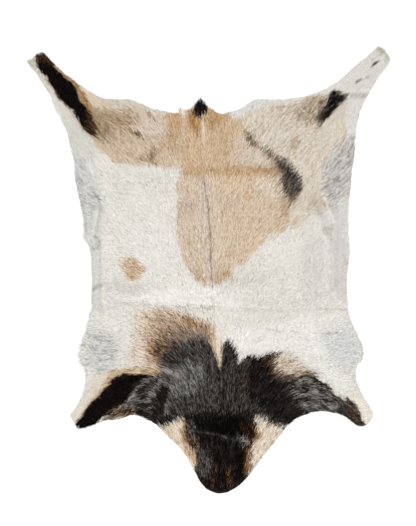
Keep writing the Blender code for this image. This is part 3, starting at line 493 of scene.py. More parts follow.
STROKES: tuple[Stroke, ...] = (
    Stroke("spine line", "#9a8b7e", "#7c6d61", 0.4, 0.75, 2, 4,
        "-10,184 -6,164 -2,144 1,120 2,90 5,60 5,36 4,16"),
    Stroke("spine line low", "#94857a", "#7a6b60", 0.4, 0.6, 2, 4.4, "4,16 7,-4 11,-28"),
    Stroke("tail line", "#e0d2bf", "#ebe2d4", 0.35, 0.85, 1.6, 2.6, "-12,308 -10,288 -9,260"),
    Stroke("tail line low", "#dccab3", "#e6dac8", 0.35, 0.4, 1.6, 3.2, "-9,260 -8,236 -9,216"),
    Stroke("shank low fringe", "#c4a478", "#4a3320", 0.35, 0.55, 1.2, 5.2,
        "-343,404 -330,388 -316,370 -304,353 -294,339 -278,321 -266,305 -256,291 -246,275"),
    Stroke("shank upper fringe", "#9a6c40", "#2e1b0f", 0.45, 0.6, 1.2, 5.2,
        "-312,417 -298,405 -284,393 -272,382 -262,368 -254,354 -246,340 -238,326"),
    Stroke("thigh wisp", "#3a2b20", "#241912", 0.4, 0.9, 1.2, 3.2, "-220,280 -211,268 -204,254"),
    Stroke("thigh wisp two", "#3a2b20", "#241912", 0.4, 0.85, 1.2, 3.2, "-232,274 -222,263 -212,256"),
    Stroke("loin band right", "#b08a5c", "#8a6a44", 0.4, 0.48, 4, 8, "92,200 120,201 152,200"),
    Stroke("withers line", "#cfc6ba", "#b9ae9f", 0.4, 0.55, 1.6, 3, "8,-64 11,-80 12,-100 13,-116"),
    Stroke("withers wedge", "#e8e1d6", "#d8c8b2", 0.3, 0.85, 4, 4.8, "17,-112 20,-136 21,-160 22,-176"),
    Stroke("withers wedge end", "#d2c0aa", "#ad9272", 0.35, 0.7, 1.2, 2.8, "23,-174 24,-186 25,-194"),
    Stroke("withers brown edge", "#8f7050", "#4a3526", 0.45, 0.6, 1.6, 4.8,
        "2,-128 6,-146 11,-164 18,-182 23,-198"),
    Stroke("shoulder red brown", "#5a3522", "#33190e", 0.45, 0.75, 4, 10, "-110,-168 -102,-160 -96,-150"),
    Stroke("shoulder umber streak", "#4c3527", "#2a1a12", 0.4, 0.6, 3.2, 9, "-96,-132 -82,-124 -72,-128"),
    Stroke("shoulder red patch", "#33231c", "#1c1310", 0.4, 0.7, 6, 10, "-72,-184 -60,-178 -48,-170"),
    Stroke("elbow sheen", "#8f8a84", "#b0aba5", 0.42, 0.65, 6, 10, "-88,-200 -72,-206 -56,-210"),
    Stroke("withers brown edge two", "#8f7152", "#5f4a36", 0.4, 0.6, 1.6, 3, "30,-146 27,-164 26,-184"),
    Stroke("left flank light", "#e6e4e0", "#efedea", 0.4, 0.6, 1.8, 4, "-238,210 -232,196 -226,176"),
    Stroke("left teat", "#cfcecc", "#bdbcba", 0.35, 0.7, 5.2, 3, "-226,53 -225,52"),
    Stroke("right teat", "#c6c3bf", "#b5b1ad", 0.35, 0.85, 5.2, 3, "239,84 240,84"),
    # painted highlight on the lit side of the right belly fold
    Stroke("right belly light", "#f0eeea", "#f5f4f1", 0.4, 0.8, 2, 4, "252,-44 253,-56 256,-66"),
    Stroke("right rim fleck", "#b0aaa6", "#9c9692", 0.4, 0.7, 1.4, 3, "277,-14 278,-28 277,-42"),
    Stroke("right rim fleck two", "#b5afab", "#a09a96", 0.4, 0.7, 1.4, 3, "274,18 278,12"),
    # painted shade: grey lines along the creases and tucks, where the folds lie in shade
    Stroke("right rim tuck", "#b3aea8", "#9f9a94", 0.4, 0.25, 1.6, 3.2, "270,-78 280,-79"),
    Stroke("right chest tuck", "#a39b97", "#8e8681", 0.4, 0.6, 2, 4, "244,-126 250,-125 256,-126"),
    Stroke("chest crease left", "#d3cfc8", "#c3bfb7", 0.35, 0.6, 1.2, 3.6, "-168,-67 -116,-69 -64,-73"),
    Stroke("chest crease mid", "#b3aea7", "#aca79e", 0.35, 0.9, 1.2, 2.8, "-64,-73 -36,-76 10,-79"),
    Stroke("chest crease right", "#d0ccc5", "#c0bcb5", 0.35, 0.45, 1, 3.6,
        "10,-79 64,-81 124,-81 204,-80 268,-78"),
    Stroke("belly crease", "#cbc8c3", "#b8b5b0", 0.35, 0.45, 1.2, 3.2,
        "116,-119 154,-123 206,-126 244,-128 298,-131"),
    Stroke("shank speck", "#66625e", "#4f4c48", 0.4, 0.9, 2.4, 3.2, "327,407 332,411 338,416"),
    Stroke("shank speck faint", "#a8a5a0", "#8f8c87", 0.4, 0.8, 1.2, 2.8, "328,419 334,424"),
    Stroke("shank speck low", "#8b8884", "#6f6c68", 0.4, 0.85, 2.2, 3.2, "295,373 300,378 306,381"),
    Stroke("shank speck low two", "#b4b1ac", "#9f9c97", 0.4, 0.8, 1.2, 2.8, "312,382 322,386"),
    # painted highlight along the crest of the right shank's fold
    Stroke("shank fold", "#ebe9e4", "#f3f1ed", 0.4, 0.4, 2.4, 6, "276,357 300,359 328,359"),
    Stroke("foreleg fringe", "#5a3a20", "#1c1109", 0.5, 0.75, 1.2, 6,
        "-252,-298 -240,-278 -226,-260 -210,-242 -196,-226 -180,-213 -156,-209 -124,-211"),
    # the light strokes here are partly grey hair and partly painted sheen on the black breast
    Stroke("foreleg light edge", "#8b8783", "#b2aeaa", 0.45, 0.65, 2.4, 5.2,
        "-116,-214 -132,-228 -146,-243 -158,-258 -172,-274"),
    Stroke("foreleg light fork", "#7d7975", "#a39f9b", 0.45, 0.7, 2, 5.2,
        "-150,-246 -142,-262 -124,-264 -116,-252"),
    Stroke("breast light two", "#827e7a", "#aaa6a2", 0.45, 0.75, 2, 5.2,
        "-70,-232 -76,-248 -80,-266 -86,-284"),
    Stroke("breast dark two", "#1c1917", "#36322f", 0.3, 0.6, 3.2, 7.2, "-48,-252 -44,-268 -50,-282"),
    Stroke("breast dark three", "#181513", "#36322f", 0.3, 0.6, 3.6, 7.2, "-120,-268 -112,-280 -100,-292"),
    Stroke("breast light three", "#827e7a", "#aaa6a2", 0.45, 0.45, 2, 5.2, "-126,-280 -112,-272 -102,-262"),
    Stroke("breast light edge", "#96928e", "#b8b4b0", 0.45, 0.8, 2.2, 4.8,
        "-94,-220 -106,-234 -112,-248 -120,-262"),
    # the light arcs are partly grey hair and partly painted sheen where the curls' black hair bends
    Stroke("curl light", "#97928c", "#b4b0aa", 0.4, 0.75, 2.4, 6.4, "182,-222 194,-216 206,-224"),
    Stroke("curl light two", "#97928c", "#b4b0aa", 0.4, 0.75, 2.4, 6.4, "172,-240 182,-250 196,-250"),
    Stroke("curl light three", "#97928c", "#b4b0aa", 0.4, 0.75, 2.4, 6.4, "208,-240 218,-248 216,-260"),
    Stroke("curl light four", "#97928c", "#b4b0aa", 0.4, 0.75, 2.4, 6.4, "228,-232 240,-242 246,-256"),
    Stroke("curl light five", "#97928c", "#b4b0aa", 0.4, 0.6, 2.4, 6.4, "188,-268 204,-274 220,-270"),
    Stroke("curl light six", "#97928c", "#b4b0aa", 0.4, 0.75, 2.4, 6.4, "236,-270 248,-276 260,-272"),
    Stroke("curl dark", "#1c1917", "#2b2724", 0.4, 0.75, 2.8, 7.2, "164,-226 176,-234 172,-246"),
    Stroke("curl dark two", "#1c1917", "#2b2724", 0.4, 0.75, 2.8, 7.2, "216,-218 224,-228 228,-242"),
    Stroke("curl dark three", "#1c1917", "#2b2724", 0.4, 0.85, 2.8, 7.2, "202,-262 190,-256 182,-262"),
    Stroke("curl dark four", "#1c1917", "#2b2724", 0.4, 0.7, 2.8, 7.2, "228,-258 240,-264 252,-262"),
    # painted highlight along the crest of the neck fold
    Stroke("neck crest left", "#4c4845", "#827d78", 0.45, 0.2, 3.6, 10, "-18,-320 0,-323 16,-327"),
    Stroke("neck crest", "#56524d", "#8f8a83", 0.45, 0.32, 4, 10, "16,-327 32,-333 44,-340 50,-348"),
    Stroke("neck left fringe", "#8a6542", "#2e1f14", 0.5, 0.6, 1.6, 7.2,
        "-42,-312 -44,-330 -40,-346 -30,-362 -22,-380 -24,-398"),
    Stroke("neck right fringe", "#7a5433", "#1c120b", 0.5, 0.65, 1.6, 6.8,
        "84,-288 88,-300 94,-316 98,-328 88,-342 78,-356 75,-376 76,-400 78,-414"),
    Stroke("neck left flecks", "#a07a56", "#6c4f37", 0.4, 0.6, 2, 4.8, "-20,-340 -22,-356 -26,-372"),
    Stroke("haunch streak line", "#86694c", "#4f3e2d", 0.4, 0.42, 4.4, 6, "84,260 100,248 116,236 134,223"),
)

# x, y and heading of the hair tips in degrees, counter-clockwise from the right
HAIR_LAY: tuple[tuple[int, int, int], ...] = (
    (-14, 324, 90), (-12, 260, 90), (-6, 180, 90), (0, 80, 90), (4, -20, 91), (12, -120, 92),
    (20, -220, 92), (20, -284, 91), (20, -360, 90), (20, -436, 90), (-16, -400, 100), (64, -400, 80),
    (-36, -360, 114), (94, -356, 64), (-72, -320, 126), (124, -316, 52), (-20, -320, 98),
    (68, -320, 82), (-56, 314, 104), (-36, 312, 72), (10, 312, 108), (-72, 300, 108), (-44, 284, 95),
    (-96, 288, 124), (-116, 250, 130), (-156, 310, 140), (-156, 260, 138), (-206, 310, 140),
    (-206, 260, 140), (-172, 340, 158), (-246, 320, 131), (-296, 380, 130), (-336, 420, 130),
    (-268, 260, 112), (-244, 236, 118), (-284, 316, 122), (-88, 240, 116), (-52, 240, 100),
    (-136, 332, 150), (-256, 196, 122), (-246, 150, 160), (-252, 110, 176), (-224, 116, 140),
    (-196, 180, 135), (-196, 120, 138), (-196, 60, 143), (-136, 180, 128), (-136, 120, 130),
    (-136, 60, 136), (-80, 160, 113), (-80, 100, 115), (-80, 40, 118), (-36, 140, 98), (-36, 60, 102),
    (-232, 16, 150), (-196, 10, 152), (-152, 4, 160), (-96, 0, 132), (-46, 0, 110), (-196, -50, 162),
    (-136, -50, 152), (-76, -50, 132), (-26, -50, 108), (-236, -80, 166), (-244, -130, 170),
    (-252, -170, 178), (-196, -100, 156), (-196, -150, 164), (-136, -100, 148), (-136, -150, 156),
    (-76, -100, 138), (-76, -150, 142), (-26, -120, 120), (-26, -170, 124), (-6, -220, 106),
    (-232, -200, 188), (-192, -200, 200), (-156, -184, 178), (-116, -192, 162), (-246, -250, 232),
    (-266, -290, 229), (-216, -266, 228), (-176, -240, 226), (-136, -220, 212), (-144, -252, 226),
    (-176, -284, 212), (-126, -270, 215), (-84, -244, 112), (-86, -276, 108), (-56, -260, 112),
    (-46, -290, 118), (-96, -220, 135), (54, 290, 76), (44, 240, 80), (84, 314, 56), (94, 250, 58),
    (144, 300, 42), (144, 240, 48), (184, 332, 38), (204, 290, 43), (234, 320, 46), (274, 370, 42),
    (324, 410, 42), (354, 430, 42), (268, 300, 56), (284, 264, 76), (260, 236, 64), (276, 184, 40),
    (248, 200, 56), (252, 156, 34), (252, 128, 24), (274, 130, 48), (184, 220, 48), (124, 210, 52),
    (64, 200, 68), (84, 140, 60), (144, 140, 50), (194, 140, 46), (34, 140, 78), (84, 70, 60),
    (144, 70, 48), (204, 70, 42), (256, 76, 34), (272, 30, 40), (36, 60, 80), (64, -10, 62),
    (124, -10, 46), (184, -4, 38), (234, -4, 35), (268, -30, 46), (64, -60, 58), (124, -60, 42),
    (184, -60, 32), (244, -72, 25), (54, -120, 66), (104, -120, 42), (164, -120, 28), (224, -120, 20),
    (276, -120, 10), (60, -160, 64), (116, -168, 34), (184, -164, 16), (244, -164, 0), (292, -160, -2),
    (292, -192, -12), (84, -216, 64), (120, -224, 46), (160, -220, 20), (200, -220, -4),
    (232, -228, -22), (248, -252, -36), (274, -264, -48), (300, -284, -50), (272, -228, -45),
    (308, -264, -52), (184, -260, 8), (144, -264, 50), (208, -264, -8), (228, -276, -14),
    (108, -264, 68), (64, -264, 82), (134, -288, 58), (168, -288, 20),
)

CREASES: tuple[Crease, ...] = (
    Crease("chest crease", 0.75, 0, 1, "-172,-66 -116,-68 -36,-72 10,-77 64,-80 124,-81 204,-80 282,-77"),
    Crease("chest crease lip", 0, 0.9, 6, "-172,-73 -116,-75 -36,-79 10,-84 64,-87 204,-87 276,-84"),
    Crease("belly crease", 0.55, 0, 1, "108,-116 154,-122 206,-126 254,-128 298,-130"),
    Crease("belly crease lip", 0, 0.8, 6, "108,-123 154,-129 206,-133 254,-135 294,-137"),
    Crease("left rib crease", 0.6, 0.8, 7, "-224,-36 -208,-28 -192,-24 -160,-22"),
    Crease("left rib crease two", 0.5, 0.7, 7, "-214,-56 -180,-56 -148,-50"),
    Crease("left brisket crease", 0.45, 0.6, 7, "-214,-78 -192,-76 -164,-68"),
    Crease("left belly fold", 0.8, 0, 1, "-214,132 -218,96 -218,68 -214,36 -216,-10 -216,-84"),
    Crease("left belly roll", 0, 2.2, 6, "-222,124 -226,96 -227,72"),
    Crease("left belly roll low", 0, 2, 6, "-209,36 -208,-10 -209,-68"),
    Crease("right belly fold", 0.8, 0, 1, "228,148 232,124 244,96 244,60 242,16 244,-30 248,-66"),
    Crease("right groin roll", 0, 2.2, 6, "224,140 234,124 244,102"),
    Crease("right belly roll", 0, 2, 6, "238,60 236,16 238,-30 242,-60"),
    Crease("loin crease", 0.3, 0, 1, "-4,198 64,200 160,200"),
    Crease("neck crest", 0.95, 3.2, 7, "-36,-322 -6,-325 20,-329 44,-338 68,-342 96,-338"),
    Crease("left teat edge", 0.85, 0, 1, "-217,60 -218,48 -223,40 -233,43 -236,54 -232,64 -224,66 -217,60"),
    Crease("left teat", 0, 3.4, 6, "-226,53 -225,53"),
    Crease("right teat edge", 0.85, 0, 1, "248,92 248,79 241,72 232,76 230,86 234,95 242,98 248,92"),
    Crease("right teat", 0, 3.2, 6, "238,84 239,84"),
)

# painted highlights on ridges and painted shade in tucks, dents and round the teats
FOLD_SHADES: tuple[FoldShade, ...] = (
    FoldShade("left flank dent", -0.16, 2.8, "-226,146 -219,142 -216,132 -208,116"),
    FoldShade("left ridge", 0.12, 3.2, "-220,128 -224,104 -229,80 -232,60"),
    FoldShade("left ridge shade", -0.2, 2.4, "-215,126 -219,104 -222,80 -226,68"),
    FoldShade("left rim fold", -0.16, 3.2, "-264,196 -261,160 -253,128 -245,92 -242,72"),
    FoldShade("left belly edge", -0.13, 2.2, "-214,48 -214,28 -215,0 -215,-28 -216,-60 -214,-84"),
    FoldShade("left belly edge light", 0.08, 2.4, "-210,46 -209,16 -210,-28 -210,-68"),
    FoldShade("left belly rim", -0.1, 2.8, "-236,40 -232,16 -231,-16 -232,-40 -232,-68"),
    FoldShade("left belly tuck", -0.42, 3.6, "-231,-40 -224,-35 -216,-30"),
    FoldShade("left belly tuck light", 0.1, 2.4, "-228,-47 -220,-43 -216,-40"),
    FoldShade("left teat ring", -0.38, 2,
        "-234,52 -233,60 -228,65 -222,65 -218,59 -217,51 -221,43 -228,41 -233,46"),
    FoldShade("left teat light", 0.12, 2, "-227,56 -226,50"),
    FoldShade("left rib shade", -0.06, 4.8, "-210,-31 -184,-28 -160,-34 -132,-36"),
    FoldShade("right groin ridge", 0.3, 2.8, "230,152 236,132 244,114 250,98"),
    FoldShade("right groin ridge shade", -0.22, 4.8, "208,140 215,128 222,116 230,102"),
    FoldShade("right teat ring", -0.38, 2, "232,86 233,78 238,73 244,75 247,82 247,90 242,95"),
    FoldShade("right teat light", 0.12, 2, "238,88 239,81"),
    FoldShade("right belly ridge", 0.07, 4.4, "228,68 236,56 241,42 242,24 242,-4 243,-40"),
    FoldShade("right belly edge", -0.06, 2.8, "246,68 252,48 252,28 252,-4 251,-40"),
    FoldShade("right belly inner", -0.04, 3.2, "270,60 270,16 267,-28"),
    FoldShade("right chest tuck", -0.05, 2.8, "238,-129 248,-125 260,-128"),
    FoldShade("right rim tuck", -0.08, 2.2, "268,-79 280,-79"),
    FoldShade("loin crease", -0.05, 2.4, "-48,189 -4,189 64,191 148,195"),
)

COMBED: tuple[Combed, ...] = (
    Combed("left flank", 12, "-276,228 -232,220 -216,180 -208,136 -220,104 -244,68 -264,128"),
    Combed("right flank", 12,
        "220,128 218,180 230,224 252,256 276,280 308,288 296,220 288,148 264,112 240,108"),
    Combed("lower left", 16,
        "-260,-120 -220,-112 -176,-128 -168,-160 -184,-200 -216,-220 -248,-212 -260,-180"),
)

GROWTHS: tuple[Growth, ...] = (
    Growth("left belly", 0.55, 1.15, 8, "-244,88 -212,128 -208,60 -210,-84 -240,-84 -238,40"),
    Growth("right belly", 0.55, 1.15, 8, "224,144 252,128 252,60 252,-60 284,-72 276,60 272,120"),
    Growth("left flank fan", 0.95, 0.8, 16,
        "-272,220 -236,216 -220,176 -214,140 -224,108 -248,76 -260,130 -270,176"),
    Growth("right flank skin", 0.95, 0.8, 16,
        "224,130 222,176 230,216 246,246 270,272 300,278 294,240 286,204 274,172 254,140 242,120"),
    Growth("lower left grizzle", 1, 0.65, 20,
        "-256,-120 -220,-112 -176,-128 -168,-160 -184,-200 -216,-216 -244,-208 -256,-184 -264,-160"),
    Growth("lower right cool", 1, 0.75, 20, "224,-130 276,-112 304,-132 316,-164 296,-200 268,-212 232,-184"),
    Growth("left hind leg", 0.6, 1.25, 28, "-376,424 -324,444 -224,348 -208,304 -232,256 -276,240 -308,332"),
    Growth("right hind leg", 0.6, 1.25, 28, "216,356 340,460 376,420 312,332 296,280 264,288 244,332"),
    Growth("left foreleg", 0.6, 1.25, 24, "-288,-290 -224,-204 -156,-196 -132,-228 -216,-312 -264,-328"),
    Growth("right foreleg", 0.65, 1.25, 24, "236,-204 276,-228 340,-286 316,-324 264,-288 236,-252"),
    Growth("neck", 1.15, 1.05, 24, "-44,-308 96,-308 88,-420 36,-460 0,-460 -36,-408"),
    Growth("back", 1.1, 1.1, 24, "-24,316 0,316 16,140 24,-40 32,-260 4,-260 -16,-40 -32,140"),
    Growth("left teat", 0.4, 0.9, 4, "-219,60 -220,48 -225,41 -233,45 -235,55 -231,63 -224,65"),
    Growth("right teat", 0.4, 0.9, 4, "247,92 246,80 241,73 233,77 231,86 235,95 242,97"),
)

WHISKERS: tuple[Whiskers, ...] = (
    Whiskers("left belly", 8, 20, "-234,-72 -242,-96 -248,-120 -256,-150 -260,-174 -252,-196"),
    Whiskers("left teat", 8, 12, "-244,84 -248,72 -244,60"),
    Whiskers("right belly", 3.5, 20, "288,-96 304,-136 310,-164 300,-184"),
    Whiskers("tail", 6, 16, "-30,324 -15,344 2,324"),
    Whiskers("rump", 6, 16, "-64,320 -44,312"),
)


def linear(hex_colour: str) -> tuple[float, float, float]:
    """Turns an sRGB hex colour to linear values, by the curve that sRGB is defined with.

    Args:
        hex_colour: The colour as "#rrggbb".

    Returns:
        Red, green and blue from 0 to 1, linear.
    """
    parts = [int(hex_colour[i : i + 2], 16) / 255 for i in (1, 3, 5)]
    return tuple(c / 12.92 if c <= 0.04045 else ((c + 0.055) / 1.055) ** 2.4 for c in parts)


def add_node(tree: Tree, kind: str, settings: dict[str, Any], inputs: dict[Any, Any]) -> bpy.types.Node:
    """Adds a node with its settings, values and links.

    Args:
        tree: The node tree that gets it.
        kind: The node's type name.
        settings: The node's own properties.
        inputs: Input sockets by name or number, each with a value or an output socket to link.

    Returns:
        The new node.
    """
    node = tree.nodes.new(kind)
    for key, value in settings.items():
        setattr(node, key, value)
    for key, value in inputs.items():
        socket = node.inputs[key]
        if isinstance(value, Socket):
            tree.links.new(value, socket)
        else:
            socket.default_value = value
    return node


def bare_material(name: str) -> tuple[bpy.types.Material, Tree]:
    """Makes a node material with no nodes in it yet.

    Args:
        name: The material's name.

    Returns:
        The material and its tree.
    """
    made = bpy.data.materials.new(name)
    made.use_nodes = True
    made.node_tree.nodes.clear()
    return made, made.node_tree


def noise(tree: Tree, size: float, **inputs: float) -> Socket:
    """Adds noise on the piece's own coordinates.

    Args:
        tree: The material's tree.
        size: The distance between its bumps in millimetres.
        inputs: The noise's other inputs by name.

    Returns:
        Its output.
    """
    place = add_node(tree, "ShaderNodeTexCoord", {}, {}).outputs["Object"]
    given = {"Vector": place, "Scale": 1 / (size * MM), **inputs}
    return add_node(tree, "ShaderNodeTexNoise", {}, given).outputs[0]


def ranged(tree: Tree, value: Socket, span: tuple[float, float], onto: tuple[float, float]) -> Socket:
    """Adds a map from one range of values onto another.

    Args:
        tree: The material's tree.
        value: What is mapped.
        span: The range that it is taken from.
        onto: The range that it is brought to.

    Returns:
        The mapped value.
    """
    inputs = {"Value": value, "From Min": span[0], "From Max": span[1], "To Min": onto[0], "To Max": onto[1]}
    return add_node(tree, "ShaderNodeMapRange", {}, inputs).outputs[0]


def product(tree: Tree, first: Any, second: Any) -> Socket:
    """Adds a product of two values or sockets."""
    return add_node(tree, "ShaderNodeMath", {"operation": "MULTIPLY"}, {0: first, 1: second}).outputs[0]


def drawn(tree: Tree, span: tuple[Any, Any], seed: Any) -> Socket:
    """Adds a number that is drawn anew for each lock.

    Args:
        tree: The Geometry Nodes tree.
        span: The lowest and the highest number, as values or sockets.
        seed: Which draw, as a value or a socket.

    Returns:
        The number.
    """
    inputs = {2: span[0], 3: span[1], "Seed": seed}
    return add_node(tree, "FunctionNodeRandomValue", {"data_type": "FLOAT"}, inputs).outputs[1]


def close_to(places: Rows, line: Rows, margin: float) -> Rows:
    """Tells which places lie within margin of a line's box."""
    return np.all((places > line.min(0) - margin) & (places < line.max(0) + margin), axis=1)


def distance_to_line(places: Rows, line: Rows) -> Rows:
    """Measures how far places are from an open line.

    Args:
        places: Points as rows of x and y.
        line: The line's points as rows of x and y.

    Returns:
        One distance for each place.
    """
    nearest = np.full(len(places), np.inf)
    for start, end in zip(line[:-1], line[1:]):
        run = end - start
        along = np.clip((places - start) @ run / max(float(run @ run), TINY), 0, 1)
        nearest = np.minimum(nearest, np.linalg.norm(places - start - along[:, None] * run, axis=1))
    return nearest


def depth_inside(places: Rows, outline: Rows) -> Rows:
    """Measures how deep places lie inside a closed outline.

    Args:
        places: Points as rows of x and y.
        outline: The outline's corners as rows of x and y, the last joined to the first.

    Returns:
        The distance to the outline for each place, negative outside.
    """
    closed = np.vstack([outline, outline[:1]])
    within = np.zeros(len(places), bool)
    for (x0, y0), (x1, y1) in zip(closed[:-1], closed[1:]):
        spans = (y0 > places[:, 1]) != (y1 > places[:, 1])
        if y0 != y1:
            within ^= spans & (places[:, 0] < x0 + (places[:, 1] - y0) * (x1 - x0) / (y1 - y0))
    return np.where(within, 1, -1) * distance_to_line(places, closed)


def ripple(places: Rows, wavelength: float, seed: int) -> Rows:
    """Gives smooth unevenness that is the same at each run.

    Args:
        places: Points as rows of x and y.
        wavelength: The distance between its bumps.
        seed: Which unevenness.

    Returns:
        A value from -1 to 1 for each place.
    """
    lattice = np.random.default_rng(seed).uniform(-1, 1, (RIPPLE_CELLS, RIPPLE_CELLS))
    steps = places / wavelength + RIPPLE_SHIFT
    cell = np.floor(steps).astype(int)
    part = steps - cell
    part = part * part * (3 - 2 * part)
    (i, j), (u, v) = (cell % RIPPLE_CELLS).T, part.T
    i_next, j_next = (i + 1) % RIPPLE_CELLS, (j + 1) % RIPPLE_CELLS
    low = lattice[i, j] * (1 - u) + lattice[i_next, j] * u
    high = lattice[i, j_next] * (1 - u) + lattice[i_next, j_next] * u
    return low * (1 - v) + high * v


def soft_step(value: Rows) -> Rows:
    """Eases values from 0 to 1, flat below 0 and above 1."""
    held = np.clip(value, 0, 1)
    return held * held * (3 - 2 * held)


def normal_share(value: Rows) -> Rows:
    """Gives the share of a normal spread that lies below values, by the usual tanh fit."""
    return 0.5 * (1 + np.tanh(0.79788 * (value + 0.044715 * value**3)))


def drawn_out(places: Rows, ways: Rows, wavelength: float, reach: int, seed: int) -> Rows:
    """Gives unevenness that is drawn out along the hair, as strands lie side by side.

    Args:
        places: Points as rows of x and y.
        ways: The way the hair lies at each place, as rows of unit vectors.
        wavelength: The width of a strand.
        reach: How many such widths a strand runs each way.
        seed: Which unevenness.

    Returns:
        A value for each place, about 0 on average and 1 in spread.
    """
    steps = np.arange(-reach, reach + 1) * wavelength
    total = sum(ripple(places + step * ways, wavelength, seed) for step in steps)
    return total / (RIPPLE_SPREAD * math.sqrt(len(steps)))


def resampled(loop: Rows, step: float) -> Rows:
    """Spaces a closed loop's points evenly.

    Args:
        loop: The loop's points as rows.
        step: The distance between points.

    Returns:
        The same loop with even spacing.
    """
    closed = np.vstack([loop, loop[:1]])
    run = np.concatenate([[0], np.cumsum(np.linalg.norm(np.diff(closed[:, :2], axis=0), axis=1))])
    places = np.linspace(0, run[-1], int(run[-1] / step), endpoint=False)
    return np.stack([np.interp(places, run, closed[:, k]) for k in range(closed.shape[1])], axis=1)


@dataclass
class HideForm:
    """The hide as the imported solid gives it: its outline, and how high its flesh side lies at each place."""

    flesh_facing: float = -0.5
    weld: float = 1e-6
    outline: Rows = field(init=False)
    flesh: BVHTree = field(init=False)

    def __post_init__(self) -> None:
        """Reads the flesh side's faces and the loop round them from a merged copy of the node's mesh."""
        solid = bmesh.new()
        solid.from_mesh(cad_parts[NODE].data)
        bmesh.ops.remove_doubles(solid, verts=solid.verts, dist=self.weld)
        solid.normal_update()
        under = {face for face in solid.faces if face.normal.z < self.flesh_facing}
        after = {}
        for face in under:
            for loop in face.loops:
                if all(other in under for other in loop.edge.link_faces):
                    continue
                after[loop.vert] = loop.link_loop_next.vert
        corner = max(after, key=lambda vert: vert.co.y)
        path = [corner]
        while after[path[-1]] is not corner and len(path) <= len(after):
            path.append(after[path[-1]])
        self.outline = np.array([vert.co for vert in path]) / MM
        solid.verts.index_update()
        self.flesh = BVHTree.FromPolygons(
            [vert.co.copy() for vert in solid.verts], [[vert.index for vert in face.verts] for face in under]
        )
        solid.free()

    def heights(self, places: Rows) -> Rows:
        """Finds the flesh side's height under places.

        Args:
            places: Points as rows of x and y in millimetres.

        Returns:
            One height in millimetres for each place.
        """
        found = []
        for x, y in places * MM:
            hit = self.flesh.ray_cast(Vector((x, y, -1)), Vector((0, 0, 1)))[0]
            if hit is None:
                hit = self.flesh.find_nearest(Vector((x, y, 0)))[0]
            found.append(hit.z / MM)
        return np.array(found)


